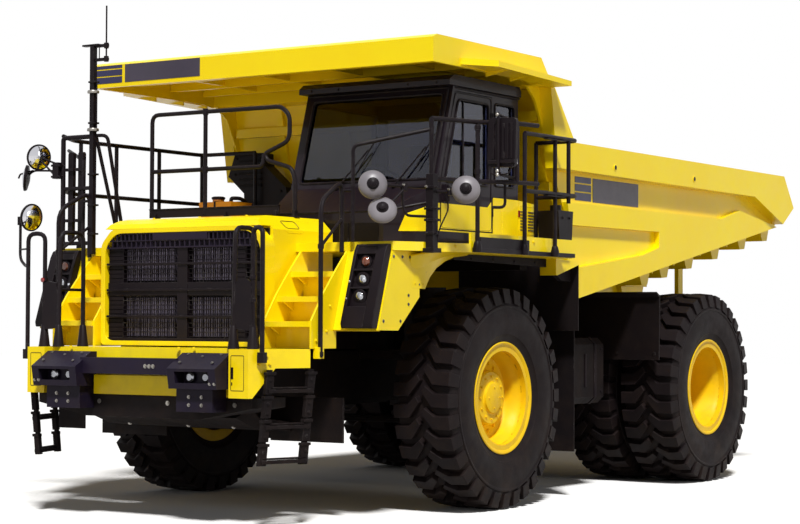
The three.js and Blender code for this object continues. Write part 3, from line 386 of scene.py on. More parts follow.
def ring(centre, turn, radius, height, sides):
    """The corners of a polygon set across the turned Z axis."""
    angles = [math.tau * k / sides for k in range(sides)]
    return [centre + turn @ Vector((radius * math.cos(a), radius * math.sin(a), height)) for a in angles]


def bolt(bm, spot, facing, radius=0.014, rise=0.012):
    """A hexagon head on a washer."""
    spot, facing = Vector(spot), Vector(facing).normalized()
    turn = facing.to_track_quat("Z", "Y").to_matrix()
    for sides, r, low, high in ((14, radius * 1.5, -0.004, rise * 0.25), (6, radius, 0, rise)):
        loft(bm, [ring(spot, turn, r, h, sides) for h in (low, high)])


def bolt_ring(bm, x, y, z, reach, count, radius):
    for k in range(count):
        a = math.tau * k / count
        bolt(bm, (x, y + reach * math.cos(a), z + reach * math.sin(a)), (1, 0, 0), radius, radius * 1.2)


def disc(bm, centre, facing, profile, sides=28):
    """A lathe about any axis: its profile is (radius, distance along the facing)."""
    centre, facing = Vector(centre), Vector(facing).normalized()
    turn = facing.to_track_quat("Z", "Y").to_matrix()
    loft(bm, [ring(centre, turn, r, h, sides) for r, h in profile])


# ---------------------------------------------------------------- finishing pieces


SHARP_ANGLE = math.radians(35)
BEVEL_ANGLE = math.radians(32)


def soften(thing, width):
    """Smooth shading with sharp corners kept, and a narrow bevel along them."""
    thing.data.shade_smooth()
    thing.data.set_sharp_from_angle(angle=SHARP_ANGLE)
    if width:
        bevel = thing.modifiers.new("edges", "BEVEL")
        bevel.width = width
        bevel.segments = 2
        bevel.limit_method = "ANGLE"
        bevel.angle_limit = BEVEL_ANGLE
        bevel.harden_normals = True


def piece(name, bm, body, look, bevel=0.003, replaces=(), flip=False):
    """Turns the gathered faces into a named object that rides on its body."""
    if flip:
        bmesh.ops.scale(bm, vec=(-1, 1, 1), verts=bm.verts)
    bmesh.ops.recalc_face_normals(bm, faces=bm.faces)
    bmesh.ops.translate(bm, vec=AXLE, verts=bm.verts)
    mesh = bpy.data.meshes.new(name)
    bm.to_mesh(mesh)
    bm.free()
    made = bpy.data.objects.new(name, mesh)
    bpy.context.scene.collection.objects.link(made)
    mesh.materials.append(LOOKS[look])
    soften(made, bevel)
    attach(made, body)
    if replaces:
        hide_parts(*replaces)
    return made


def pair(draw, look, bevel=0.003, replaces=None, body=CHASSIS, name=None):
    """One piece on both sides, named after its function.

    The name, the replaced node and a body that comes in two take _left or _right at their ends.
    """
    for word, flip in (("left", False), ("right", True)):
        bm = bmesh.new()
        draw(bm)
        own = body if body in frame["bodies"] else f"{body}_{word}"
        stands_for = (f"{replaces}_{word}",) if replaces else ()
        piece(f"{name or draw.__name__}_{word}", bm, own, look, bevel, stands_for, flip)


def single(draw, look, bevel=0.003, replaces=(), body=CHASSIS, name=None):
    """One piece, named after its function unless a name is given."""
    bm = bmesh.new()
    draw(bm)
    return piece(name or draw.__name__, bm, body, look, bevel, replaces)


def dress(look, bevel, *names):
    """Gives CAD nodes that stay in view their material and softened edges."""
    for name in names:
        node = frame["nodes"][name]
        node.data.materials.clear()
        node.data.materials.append(LOOKS[look])
        soften(node, bevel)


def dress_cad():
    dress("yellow", 0.008, "hood", "deck", "fender_left", "fender_right", "front_platform", "cab_rear_box")
    dress("yellow", 0.01, "dump_body", "canopy", "body_beams")
    dress("shell", 0.012, "cab_shell", "cab_roof", "cab_door")
    dress("navy_black", 0.012, "lamp_guards")
    dress("chassis", 0.012, "frame", "under_guard", "engine", "rear_axle", "tank_left", "tank_right",
          "knuckle_left", "knuckle_right", "tie_rod")
    dress("black", 0.012, "exhaust", "walkway_tank")
    dress("amber_tank", 0.012, "coolant_tank")
    dress("glass", 0, "windshield", "door_glass", "right_glass", "quarter_glass", "rear_glass")


# ---------------------------------------------------------------- wheels

LUGS = 32
LUG_OUTLINE = [(-0.066, 0.3), (0.066, 0.3), (0.064, 0.15), (0.14, 0.045), (0.085, 0.008), (-0.058, 0.125)]
GROOVE_RADIUS = WHEEL_RADIUS - 0.062
TYRES = (
    ("front_tyre", 1.757, 0, "front_wheel"),
    ("inner_tyre", 1.165, REAR_AXLE_Y, "rear_wheels"),
    ("outer_tyre", 1.915, REAR_AXLE_Y, "rear_wheels"),
)


def tyre_casing(bm, x, y):
    half = TYRE_HALF
    side = [
        (0.452, half - 0.08), (0.52, half - 0.066), (0.56, half - 0.05), (0.6, half - 0.035),
        (0.61, half - 0.022), (0.63, half - 0.018), (0.7, half - 0.005), (0.78, half - 0.002),
        (0.86, half - 0.012), (0.868, half - 0.003), (0.885, half - 0.003), (0.893, half - 0.016),
        (0.95, half - 0.028), (0.985, half - 0.045), (GROOVE_RADIUS, half - 0.085),
    ]
    profile = [(r, x + s) for r, s in side] + [(r, x - s) for r, s in reversed(side)]
    lathe(bm, profile, y, WHEEL_RADIUS, 96)


def tread(bm, x, y):
    """Two rows of lugs, each square at the shoulder and turned in towards the middle, half a pitch apart."""
    pitch = math.tau / LUGS
    for side in (-1, 1):
        for k in range(LUGS):
            turn = pitch * (k + (0.5 if side < 0 else 0))
            top, base = [], []
            for along, across in LUG_OUTLINE:
                shoulder = across > 0.29
                top.append((along, across, WHEEL_RADIUS - (0.014 if shoulder else 0.001)))
                if shoulder:
                    base.append((along * 1.05, TYRE_HALF - 0.001, 0.905))
                else:
                    base.append((along * 1.12, across, GROOVE_RADIUS - 0.01))
            loops = []
            for loop in (base, top):
                points = []
                for along, across, r in loop:
                    a = turn + along / WHEEL_RADIUS
                    points.append(Vector((x + side * across, y + r * math.sin(a),
                                          WHEEL_RADIUS + r * math.cos(a))))
                loops.append(points)
            loft(bm, loops)


def tyre(x, y):
    def draw(bm):
        tyre_casing(bm, x, y)
        tread(bm, x, y)

    return draw


def front_rim(bm):
    lathe(bm, [
        (0.001, 1.56), (0.24, 1.56), (0.24, 1.69), (0.422, 1.72), (0.422, 1.48), (0.533, 1.48),
        (0.533, 1.492), (0.449, 1.493), (0.449, 2.021), (0.533, 2.022), (0.538, 2.03), (0.53, 2.036),
        (0.512, 2.034), (0.49, 2.016), (0.474, 2.008), (0.468, 1.985), (0.45, 1.975), (0.444, 1.93),
        (0.424, 1.905), (0.415, 1.84), (0.4, 1.806), (0.38, 1.796), (0.29, 1.79), (0.268, 1.8),
        (0.262, 1.875), (0.245, 1.892), (0.16, 1.896), (0.15, 1.904), (0.146, 1.922), (0.13, 1.928),
        (0.001, 1.928),
    ], 0, WHEEL_RADIUS, 72)


def front_rim_bolts(bm):
    bolt_ring(bm, 1.79, 0, WHEEL_RADIUS, 0.342, 20, 0.017)
    bolt_ring(bm, 1.894, 0, WHEEL_RADIUS, 0.205, 12, 0.011)
    bolt_ring(bm, 1.926, 0, WHEEL_RADIUS, 0.1, 4, 0.009)


def rear_rim(bm):
    lathe(bm, [
        (0.001, 1.61), (0.422, 1.61), (0.422, 0.888), (0.533, 0.888), (0.533, 0.9), (0.449, 0.901),
        (0.449, 1.429), (0.533, 1.43), (0.533, 1.442), (0.449, 1.443), (0.449, 1.637), (0.533, 1.638),
        (0.533, 1.65), (0.449, 1.651), (0.449, 2.179), (0.533, 2.18), (0.538, 2.188), (0.53, 2.194),
        (0.512, 2.192), (0.494, 2.172), (0.476, 2.164), (0.47, 2.14), (0.452, 2.13), (0.444, 2.09),
        (0.428, 2.06), (0.424, 1.74), (0.41, 1.7), (0.39, 1.69), (0.3, 1.686), (0.255, 1.7),
        (0.245, 1.79), (0.225, 1.81), (0.1, 1.815), (0.001, 1.82),
    ], REAR_AXLE_Y, WHEEL_RADIUS, 72)


def rear_rim_bolts(bm):
    bolt_ring(bm, 1.688, REAR_AXLE_Y, WHEEL_RADIUS, 0.352, 24, 0.015)
    bolt_ring(bm, 1.812, REAR_AXLE_Y, WHEEL_RADIUS, 0.17, 10, 0.011)
    rod(bm, (2.07, REAR_AXLE_Y - 0.33, WHEEL_RADIUS - 0.24), (2.15, REAR_AXLE_Y - 0.34, WHEEL_RADIUS - 0.25),
        0.011, 8)


def add_wheels():
    for name, x, y, body in TYRES:
        pair(tyre(x, y), "rubber", 0.007, name, body, name)
    # The rim look is a deeper yellow that paints in the shade of the rims' dishes.
    pair(front_rim, "rim", 0, "front_rim", body="front_wheel")
    pair(front_rim_bolts, "rim", 0.001, body="front_wheel")
    pair(rear_rim, "rim", 0, "rear_rim", body="rear_wheels")
    pair(rear_rim_bolts, "rim", 0.001, body="rear_wheels")


# ---------------------------------------------------------------- front end

GRILLE_FACE = -2.37
GRILLE_HALF = 0.915


def grille_surround(bm):
    """A thin yellow frame whose upper corners are cut off like the hood's."""
    outer = [(-0.966, 1.556), (0.966, 1.556), (0.966, 2.5), (0.835, 2.64), (-0.835, 2.64), (-0.966, 2.5)]
    inner = [(-0.915, 1.6), (0.915, 1.6), (0.915, 2.475), (0.79, 2.6), (-0.79, 2.6), (-0.915, 2.475)]
    outer = rounded([(x, 0, z) for x, z in outer], 0.05, closed=True)
    inner = rounded([(x, 0, z) for x, z in inner], 0.09, closed=True)
    steps = ((outer, -2.22), (outer, -2.36), (outer, GRILLE_FACE), (inner, GRILLE_FACE), (inner, -2.22))
    loft(bm, [[Vector((p.x, y, p.z)) for p in loop] for loop, y in steps], closed=True)


def grille_back(bm):
    box(bm, (-GRILLE_HALF, GRILLE_HALF), (-2.24, -2.225), (1.58, 2.62))
    box(bm, (-0.06, 0.06), (-2.345, -2.26), (1.6, 2.46))
    box(bm, (-GRILLE_HALF, GRILLE_HALF), (-2.35, -2.24), (1.56, 1.63))
    for z in (1.815, 2.06, 2.3):
        box(bm, (-0.905, 0.905), (-2.36, -2.325), (z, z + 0.022))
    box(bm, (-0.9, 0.9), (-2.34, -2.25), (2.02, 2.14))
    box(bm, (-0.9, -0.72), (-2.33, -2.25), (1.63, 2.46))
    box(bm, (0.62, 0.72), (-2.33, -2.25), (1.63, 2.46))


def grille_band(bm):
    """The dark header with two rows of slots either side of a blank centre plate."""
    box(bm, (-0.9, 0.9), (-2.362, -2.34), (2.455, 2.47))
    box(bm, (-0.9, 0.9), (-2.362, -2.34), (2.522, 2.532))
    box(bm, (-0.8, 0.8), (-2.362, -2.34), (2.588, 2.605))
    box(bm, (-0.34, 0.3), (-2.366, -2.34), (2.53, 2.592))
    for low, high, reach, gap in ((2.465, 2.526, 0.9, 0.058), (2.528, 2.592, 0.84, 0.05)):
        x = -reach
        while x < reach:
            box(bm, (x, x + 0.014), (-2.358, -2.345), (low, high))
            x += gap
    box(bm, (-0.9, 0.9), (-2.3, -2.29), (2.45, 2.6))


def radiator_fins(bm):
    for left, right in ((-0.7, -0.12), (0.1, 0.6)):
        for low, high in ((1.64, 2.0), (2.16, 2.45)):
            x = left
            while x < right:
                box(bm, (x, x + 0.012), (-2.3, -2.262), (low, high))
                x += 0.026


def grille_mesh(bm):
    for k in range(44):
        x = -0.89 + k * 0.0414
        box(bm, (x, x + 0.005), (-2.325, -2.32), (1.62, 2.46))
    for k in range(20):
        z = 1.64 + k * 0.0414
        box(bm, (-0.9, 0.9), (-2.33, -2.325), (z, z + 0.005))


def hood_bolts(bm):
    """Bolts on the hood's top and a fine seam in each side."""
    for side in (-1, 1):
        x = side * 0.9445
        tube(bm, [(x, -2.03, 2.6), (x, -1.99, 2.585), (x, -1.78, 2.585), (x, -1.76, 2.6)], 0.0025, 5)
    for x in (-0.55, 0.0, 0.55):
        for y in (-2.1, -1.4):
            bolt(bm, (x, y, 2.74), (0, 0, 1), 0.012)


def hood_lid_seam(bm):
    """The outline of the access lid on the hood's shoulder."""
    for side in (-1, 1):
        points = [(0.862, -2.02, 2.693), (0.862, -1.8, 2.693), (0.93, -1.8, 2.624), (0.93, -2.0, 2.624)]
        points = [(side * (x + 0.001), y, z + 0.002) for x, y, z in points]
        tube(bm, points, 0.003, 6, 0.03, closed=True)


def platform_seams(bm):
    """Fine seams of the two storage lids on the nose, the black latch slot and keyhole."""
    for x0, x1 in ((1.095, 1.235), (-1.24, -1.11)):
        tube(bm, [(x0, -3.0105, 1.19), (x1, -3.0105, 1.19), (x1, -3.0105, 1.49), (x0, -3.0105, 1.49)],
             0.003, 6, 0.012, closed=True)
    box(bm, (1.092, 1.122), (-3.014, -3.0), (1.29, 1.39))
    box(bm, (1.102, 1.112), (-3.013, -3.0), (1.235, 1.262))


def platform_bolts(bm):
    for side in (-1, 1):
        for x, y, z in ((1.33, -2.9, 1.49), (1.35, -2.84, 1.49), (1.33, -2.9, 1.42), (1.36, -2.81, 1.42)):
            bolt(bm, (side * x, y, z), (side * 0.9, -0.4, 0), 0.01)
    for x in (-0.82, 0.45, 0.62):
        bolt(bm, (x, -2.93, 1.5455), (0, 0, 1), 0.012)


def guard_bolts(bm):
    """Bolts on the dark lamp guards, the front beam and the under guard."""
    for x in (0.205, 0.25, 0.295):
        bolt(bm, (x, -3.09, 1.387), (0, -1, 0), 0.013)
    for side in (-1, 1):
        for x, y, z in ((0.62, -3.0, 1.497), (0.8, -3.03, 1.48), (0.98, -3.0, 1.497), (0.62, -3.12, 1.43),
                        (0.98, -3.12, 1.43)):
            bolt(bm, (side * x, y, z), (0, -0.5, 0.85), 0.009, 0.007)
        for x, z in ((0.7, 1.13), (0.84, 1.13), (0.7, 1.06), (0.84, 1.06)):
            bolt(bm, (side * x, -3.09, z), (0, -1, 0), 0.011)
        for x, z in ((0.99, 1.25), (1.04, 1.25), (1.04, 1.31)):
            bolt(bm, (side * x, -3.165, z), (0, -1, 0), 0.011)
    for x in (-1.05, -0.5, 0.3, 0.62, 1.05):
        bolt(bm, (x, -2.896, 1.06), (0, -1, 0), 0.014)
    for x, y, z in ((-0.6, -2.36, 0.83), (0.1, -2.36, 0.83), (0.62, -2.36, 0.83)):
        bolt(bm, (x, y - 0.005, z + 0.01), (0, -0.8, -0.5), 0.014)


def guard_lamps(bm):
    for side in (-1, 1):
        for x in (0.7, 0.88):
            disc(bm, (side * x, -3.06, 1.3), (0, -1, 0), [(0.046, 0), (0.046, 0.02), (0.03, 0.032)], 20)


def ladder(bm):
    """Rubber straps with link plates, hung under the corner, and three flat rungs."""
    near, far = Vector((1.342, -2.865, 0)), Vector((1.512, -2.385, 0))
    across = (far - near).normalized()
    out = Vector((across.y, -across.x, 0))

    def swing(z):
        return -0.11 * (1.3 - z)

    def bar(from_t, to_t, low, high, depth):
        start, end = near.lerp(far, from_t), near.lerp(far, to_t)
        ends = [start, end, end + out * depth, start + out * depth]
        loft(bm, [[Vector((p.x + swing(z), p.y, z)) for p in ends] for z in (low, high)])

    for t in (0.0, 0.84):
        z = 0.545
        while z < 1.3:
            bar(t, t + 0.15, z, z + 0.17, 0.045)
            bar(t + 0.03, t + 0.12, z + 0.16, z + 0.21, 0.035)
            bar(t - 0.02, t + 0.17, z + 0.165, z + 0.19, 0.055)
            for dz in (0.04, 0.12):
                spot = near.lerp(far, t + 0.075) + out * 0.045
                bolt(bm, (spot.x + swing(z + dz), spot.y, z + dz), out, 0.012, 0.008)
            z += 0.205
    for z in (0.56, 0.86, 1.17):
        bar(0.05, 0.95, z, z + 0.03, 0.06)
        bar(0.05, 0.95, z + 0.035, z + 0.05, 0.045)


STEPS = ((-2.43, 1.78), (-2.23, 2.0), (-2.02, 2.225))
STRINGER = [(-2.43, 1.546), (-2.43, 1.79), (-2.25, 2.03), (-2.04, 2.26), (-1.89, 2.414), (-1.78, 2.414),
            (-1.78, 2.18), (-2.05, 1.76), (-2.05, 1.546)]


def stairs(bm):
    """Deep treads between two stringers, with the risers set well back under the nosings."""
    for span in ((0.99, 1.01), (1.5, 1.52)):
        prism(bm, "x", span, STRINGER)
    for y, z in STEPS:
        box(bm, (1.005, 1.505), (y, y + 0.36), (z - 0.04, z))
        box(bm, (1.005, 1.505), (y + 0.17, y + 0.185), (z - 0.234, z - 0.035))
        for x in (1.01, 1.42):
            gusset = [(y + 0.02, z - 0.04), (y + 0.17, z - 0.04), (y + 0.17, z - 0.12)]
            prism(bm, "x", (x + 0.03, x + 0.05), gusset)


def stair_trim(bm):
    """Nosings, tread dimples and the bolts of each step."""
    for y, z in STEPS:
        box(bm, (1.005, 1.505), (y - 0.012, y + 0.012), (z - 0.044, z + 0.006))
        for k in range(7):
            for row in (0.06, 0.12, 0.18):
                disc(bm, (1.05 + k * 0.068, y + row, z), (0, 0, 1), [(0.016, 0), (0.012, 0.006)], 10)
    for y, z in ((-2.36, 1.62), (-2.2, 1.7), (-2.15, 1.92), (-1.95, 2.14), (-1.88, 2.3)):
        bolt(bm, (1.521, y, z), (1, 0, 0), 0.01)
    box(bm, (1.5, 1.56), (-2.37, -2.29), (1.46, 1.56))


def front_rail(bm):
    y = -1.7
    tube(bm, [(-0.92, y, 2.8), (-0.92, y, 3.775), (0.64, y, 3.775), (0.735, y, 3.69), (0.735, y, 3.455),
              (0.45, y, 3.345), (0.48, y, 3.28), (0.76, y, 3.2), (0.8, y, 3.09), (0.8, y, 2.8)], bend=0.08)
    tube(bm, [(-0.92, y, 3.225), (0.43, y, 3.225), (0.44, y, 3.345)])
    tube(bm, [(-0.26, y, 2.8), (-0.26, y, 3.775)])
    for z in (3.225, 3.775):
        disc(bm, (-0.26, y, z - 0.03), (0, 0, 1), [(0.027, 0), (0.027, 0.06)], 12)
    box(bm, (-0.94, 0.62), (y - 0.012, y + 0.012), (2.778, 2.862))
    box(bm, (-0.94, 0.62), (y - 0.02, y + 0.02), (2.854, 2.864))
    for x in (-0.86, 0, 0.59, 0.8):
        box(bm, (x - 0.03, x + 0.03), (y - 0.04, y + 0.04), (2.741, 2.753))
        box(bm, (x - 0.012, x + 0.012), (y - 0.03, y + 0.03), (2.75, 2.81))


def hoop_foot(bm, x, y, z):
    disc(bm, (x, y, z), (0, 0, 1), [(0.055, 0), (0.05, 0.02), (0.03, 0.19), (0.024, 0.2)], 14)


def step_rail(bm):
    tube(bm, [(1.365, -2.925, 1.44), (1.365, -2.925, 2.59), (1.215, -2.86, 2.59), (1.215, -2.86, 1.56)],
         bend=0.09)
    tube(bm, [(1.02, -2.88, 1.56), (1.02, -2.86, 2.6), (1.005, -2.57, 2.6), (1.005, -2.57, 1.56)], bend=0.09)
    tube(bm, [(1.02, -2.87, 2.07), (1.005, -2.57, 2.07)], 0.014)
    prism(bm, "y", (-2.885, -2.856), [(1.03, 1.72), (1.21, 1.7), (1.225, 1.78), (1.21, 2.12), (1.16, 2.15),
                                     (1.05, 2.13), (1.03, 2.0)])
    for x, y in ((1.215, -2.86), (1.02, -2.88), (1.005, -2.57)):
        hoop_foot(bm, x, y, 1.546)
    for z in (1.72, 1.95, 2.15):
        disc(bm, (1.215, -2.86, z), (0, 0, 1), [(0.03, 0), (0.03, 0.03)], 12)
    box(bm, (1.33, 1.4), (-2.95, -2.9), (1.43, 1.52))


def hoop_mirror_arm(bm):
    tube(bm, [(-1.365, -2.925, 2.29), (-1.44, -2.88, 2.29), (-1.59, -2.8, 2.36), (-1.59, -2.8, 2.74)], 0.014)
    tube(bm, [(-1.365, -2.925, 2.45), (-1.59, -2.8, 2.45)], 0.009)
    box(bm, (-1.61, -1.57), (-2.82, -2.78), (2.68, 2.76))


def add_front():
    single(grille_surround, "yellow", 0.004, ("grille",))
    single(grille_back, "black")
    single(grille_band, "header", 0.002)
    single(radiator_fins, "fins", 0)
    single(grille_mesh, "black", 0)
    single(hood_bolts, "yellow", 0)
    single(hood_lid_seam, "black", 0)
    single(platform_seams, "black", 0.001)
    single(platform_bolts, "yellow", 0)
    single(guard_bolts, "bolt", 0)
    single(guard_lamps, "lens", 0.002)
    pair(ladder, "strap", 0.003, "ladder")
    pair(stairs, "yellow", 0.004, "stairs")
    pair(stair_trim, "yellow", 0.002)
    pair(step_rail, "black", 0, "step_rail")
    single(front_rail, "black", 0.001, ("handrail_front",))
    single(hoop_mirror_arm, "black", 0.001)


# ---------------------------------------------------------------- lamps, fenders, flaps and guards


def lean(z):
    return -2.105 + (z - 1.71) * 0.3196


def lamp_housing(bm):
    """The moulded housing on the fender's face, with a rounded top and a hollow for the lamps."""
    side = [(lean(1.725) - 0.001, 1.725), (lean(1.725) - 0.07, 1.725), (lean(1.77) - 0.095, 1.77),
            (lean(2.4) - 0.09, 2.4), (lean(2.44) - 0.075, 2.45), (-1.93, 2.47), (-1.881, 2.47),
            (-1.881, 2.414)]
    for span in ((1.65, 1.685), (1.885, 1.99)):
        prism(bm, "x", span, side)
    inner = [(y + (0.05 if i in (1, 2, 3) else 0), z) for i, (y, z) in enumerate(side)]
    prism(bm, "x", (1.68, 1.89), inner)
    for low, high in ((1.73, 1.92), (2.07, 2.09), (2.23, 2.25), (2.38, 2.44)):
        prism(bm, "x", (1.68, 1.89), [(lean(low), low), (lean(low) - 0.09, low), (lean(high) - 0.09, high),
                                      (lean(high), high)])


def lamp_rings(bm):
    for z, r in ((2.006, 0.058), (2.156, 0.058), (2.315, 0.05)):
        disc(bm, (1.785, lean(z) - 0.035, z), (0, -1, -0.1),
             [(r * 1.15, 0), (r * 1.15, 0.03), (r * 0.9, 0.034)], 28)


def lamp_lenses(bm):
    for z in (2.006, 2.156):
        disc(bm, (1.785, lean(z) - 0.065, z), (0, -1, -0.1),
             [(0.04, 0), (0.04, 0.004), (0.03, 0.012), (0.012, 0.016)], 28)
        disc(bm, (1.665, lean(z) - 0.088, z - 0.02), (-0.5, -0.9, 0),
             [(0.014, 0), (0.014, 0.01), (0.008, 0.014)])


def lamp_ambers(bm):
    disc(bm, (1.785, lean(2.315) - 0.065, 2.315), (0, -1, -0.1),
         [(0.042, 0), (0.042, 0.006), (0.03, 0.018), (0.01, 0.022)], 24)


def fender_bolts(bm):
    """Bolts over the fender's outer face."""
    spots = ((-1.86, 2.36), (-1.72, 2.36), (-1.6, 2.36), (-1.62, 2.02), (-1.62, 1.94), (-2.02, 1.79),
             (-1.75, 1.79), (-1.45, 2.12), (-1.2, 2.33), (-0.95, 2.38))
    for y, z in spots:
        bolt(bm, (2.0, y, z), (1, 0, 0), 0.01, 0.008)


def arch_flap(bm):
    """The curved lip that carries the fender's line out to the deck's edge over the front wheel."""
    low = [(2.0, -1.58, 2.085), (2.002, -1.35, 2.08), (2.004, -1.27, 2.19), (2.006, -1.17, 2.27),
           (2.01, -1.05, 2.33), (2.02, -0.9, 2.375), (2.04, -0.7, 2.4)]
    high = [(2.02, -1.6, 2.37), (2.1, -1.5, 2.395), (2.16, -1.35, 2.41), (2.22, -1.15, 2.42),
            (2.27, -0.98, 2.425), (2.29, -0.85, 2.425), (2.296, -0.7, 2.425)]
    strips = []
    for first, last in zip(low, high):
        first, last = Vector(first), Vector(last)
        sag = first.lerp(last, 0.5) + Vector((-0.03, 0, 0.03))
        back = Vector((-0.012, 0, 0.012))
        strips.append([first, sag, last, last + back, sag + back, first + back])
    loft(bm, strips)
    for y, z in ((-1.52, 2.13), (-1.4, 2.12), (-1.52, 2.34)):
        bolt(bm, (2.004, y, z), (1, 0, -0.3), 0.009, 0.007)


def arch_liner(bm):
    """Dark rubber skirt inside the wheel arch and the sheet that closes it to the body."""
    prism(bm, "x", (1.98, 2.03), [(-0.95, 2.414), (-0.9, 2.36), (0.9, 2.33), (1.15, 2.2), (1.345, 2.2),
                                 (1.345, 2.39), (1.0, 2.4), (0.86, 2.414)])
    box(bm, (0.7, 2.12), (1.33, 1.345), (1.7, 2.38))
    for y in (-0.6, -0.2, 0.2, 0.6, 1.0):
        bolt(bm, (2.03, y, 2.372), (1, 0, 0), 0.012)


def front_mud_flap(bm):
    """The hanging rubber sheet behind the front wheel, with its clamp bar."""
    prism(bm, "z", (0.47, 1.97), [(1.0, 1.5), (1.98, 1.5), (1.98, 1.515), (1.0, 1.515)])
    box(bm, (0.98, 1.99), (1.49, 1.53), (1.88, 1.98))


def rear_rock_guard(bm):
    """The sheet ahead of the twin tyres that keeps stones off the tank."""
    side = [(3.09, 1.38), (3.11, 1.38), (3.13, 2.08), (3.04, 2.12), (3.04, 2.1), (3.11, 2.06)]
    prism(bm, "x", (0.62, 2.16), side)
    for x in (0.75, 1.2, 1.65, 2.1):
        bolt(bm, (x, 3.09, 1.45), (0, -1, 0), 0.014)


def brake_ring_and_painted_shade(bm):
    """The dark ring round the brake that closes the rim's inner side: partly the brake, partly painted shade
    for the dark inside of the rim.
    """
    lathe(bm, [(0.336, 1.44), (0.39, 1.44), (0.408, 1.455), (0.408, 1.498), (0.336, 1.498), (0.336, 1.44)],
          0, WHEEL_RADIUS, 48)


def add_fenders():
    pair(lamp_housing, "black", 0.008, "lamp_cluster")
    pair(lamp_rings, "black", 0.002)
    pair(lamp_lenses, "lens", 0.001)
    pair(lamp_ambers, "amber", 0.001)
    pair(fender_bolts, "steel", 0)
    pair(arch_flap, "yellow", 0.004)
    pair(arch_liner, "strap", 0.004)
    pair(front_mud_flap, "strap", 0.003)
    pair(rear_rock_guard, "chassis", 0.003)
    # The brake ring is partly painted shade inside the front rims.
    pair(brake_ring_and_painted_shade, "chassis", 0.003, body="knuckle")


# ---------------------------------------------------------------- deck edge, rails and mirrors


def deck_fascia_bolts(bm):
    """Bolts along the lip under the walkway's edge."""
    for y in (-1.4, -1.2):
        bolt(bm, (2.15 + (-1.4 - y) * -0.45, y, 2.47), (0.9, -0.4, 0), 0.01)
    for y in (-0.7, -0.35, 0.1, 0.5):
        bolt(bm, (2.301, y, 2.55), (1, 0, 0), 0.011)


def fascia_box(bm):
    """The low black step box beside the cab door, strips along the deck's edge and three cleats."""
    box(bm, (1.88, 2.29), (-0.93, -0.05), (2.5, 2.53))
    box(bm, (2.302, 2.33), (-0.93, -0.03), (2.45, 2.56))
    box(bm, (2.302, 2.34), (-1.03, 0.86), (2.42, 2.46))
    for y in (-1.35, -0.7, 0.2):
        box(bm, (1.97, 2.02), (y, y + 0.04), (2.497, 2.505))


def deck_studs(bm):
    """Raised studs over the walkway."""
    for i in range(7):
        for j in range(24):
            x = 1.93 + i * 0.055 + (0.027 if j % 2 else 0)
            y = -0.98 + j * 0.075
            disc(bm, (x, y, 2.4955), (0, 0, 1), [(0.012, 0), (0.007, 0.005)], 6)


LEFT_POSTS = (
    (2.18, -1.53, 3.0, 3.6),
    (2.34, -1.0, 2.42, 3.6),
    (2.58, -0.7, 3.06, 3.6),
    (2.345, -0.15, 2.42, 3.57),
    (2.364, 0.405, 2.42, 3.57),
    (2.37, 0.665, 2.945, 3.57),
    (1.905, 0.845, 2.497, 3.57),
)


def left_rail(bm):
    front = [(2.18, -1.53), (2.34, -1.0), (2.58, -0.7), (2.64, -0.421)]
    rear = [(2.345, -0.15), (2.377, 0.85), (1.905, 0.845)]
    for z in (3.6, 3.06):
        tube(bm, [(x, y, z) for x, y in front])
    for z in (3.57, 3.025):
        tube(bm, [(x, y, z) for x, y in rear], bend=0.1)
        box(bm, (2.35, 2.4), (0.2, 0.55), (z - 0.03, z - 0.022))
    for x, y, low, high in LEFT_POSTS:
        tube(bm, [(x, y, low), (x, y, high)])
        if low < 2.6:
            disc(bm, (x, y, low), (0, 0, 1), [(0.04, 0), (0.04, 0.05), (0.03, 0.09), (0.024, 0.1)], 14)
    tube(bm, [(2.5, -0.78, 3.06), (2.5, -0.78, 2.83), (2.42, -0.86, 2.83)], 0.014)
    for z in (3.15, 3.55):
        disc(bm, (2.34, -1.0, z - 0.02), (0, 0, 1), [(0.03, 0), (0.03, 0.04)], 12)


def stair_rail(bm):
    """The rail beside the stairs and the thin one that leads up to the deck's."""
    hoop = [(1.548, -2.33, 1.47), (1.548, -2.33, 2.84), (1.5, -1.945, 3.04), (1.5, -1.945, 2.4)]
    tube(bm, hoop, bend=0.12)
    tube(bm, [(1.548, -2.33, 2.44), (1.5, -1.945, 2.7)], 0.014)
    tube(bm, [(1.5, -1.945, 2.95), (1.605, -1.925, 2.95)], 0.014)
    tube(bm, [(1.605, -1.925, 2.5), (1.605, -1.925, 3.35), (2.165, -1.53, 3.5)], 0.018, bend=0.05)
    for z in (1.5, 2.44):
        disc(bm, (1.548, -2.33, z - 0.02), (0, 0, 1), [(0.028, 0), (0.028, 0.04)], 12)


def mirror_pole(bm):
    """The stout post that carries the mirrors, with clamps, and the stays to the mirrors."""
    prism(bm, "z", (2.4, 3.1), [(2.152, -1.578), (2.228, -1.578), (2.228, -1.492), (2.152, -1.492)])
    box(bm, (2.13, 2.25), (-1.6, -1.47), (2.4, 2.44))
    for z in (2.56, 2.68, 2.78, 2.97):
        box(bm, (2.14, 2.24), (-1.59, -1.48), (z, z + 0.022))
        bolt(bm, (2.17, -1.59, z + 0.011), (0, -1, 0), 0.009, 0.02)
        bolt(bm, (2.24, -1.56, z + 0.011), (1, 0, 0), 0.009, 0.02)
    tube(bm, [(2.15, -1.54, 2.98), (2.1, -1.835, 2.975), (1.95, -2.06, 2.985)], 0.013)
    tube(bm, [(2.1, -1.835, 2.96), (2.02, -1.99, 2.79)], 0.011)
    tube(bm, [(2.2, -1.53, 2.94), (2.36, -1.505, 2.94), (2.5, -1.46, 2.952)], 0.014)
    tube(bm, [(2.06, -1.83, 2.97), (2.07, -1.8, 2.72), (2.17, -1.55, 2.72)], 0.013)
    tube(bm, [(2.3, -1.5, 2.93), (2.32, -1.45, 2.8), (2.24, -1.5, 2.6), (2.22, -1.5, 2.47)], 0.007)
    for x, y, z in ((2.1, -1.835, 2.97), (2.36, -1.505, 2.94)):
        disc(bm, (x, y, z - 0.035), (0, 0, 1), [(0.024, 0), (0.024, 0.07)], 12)


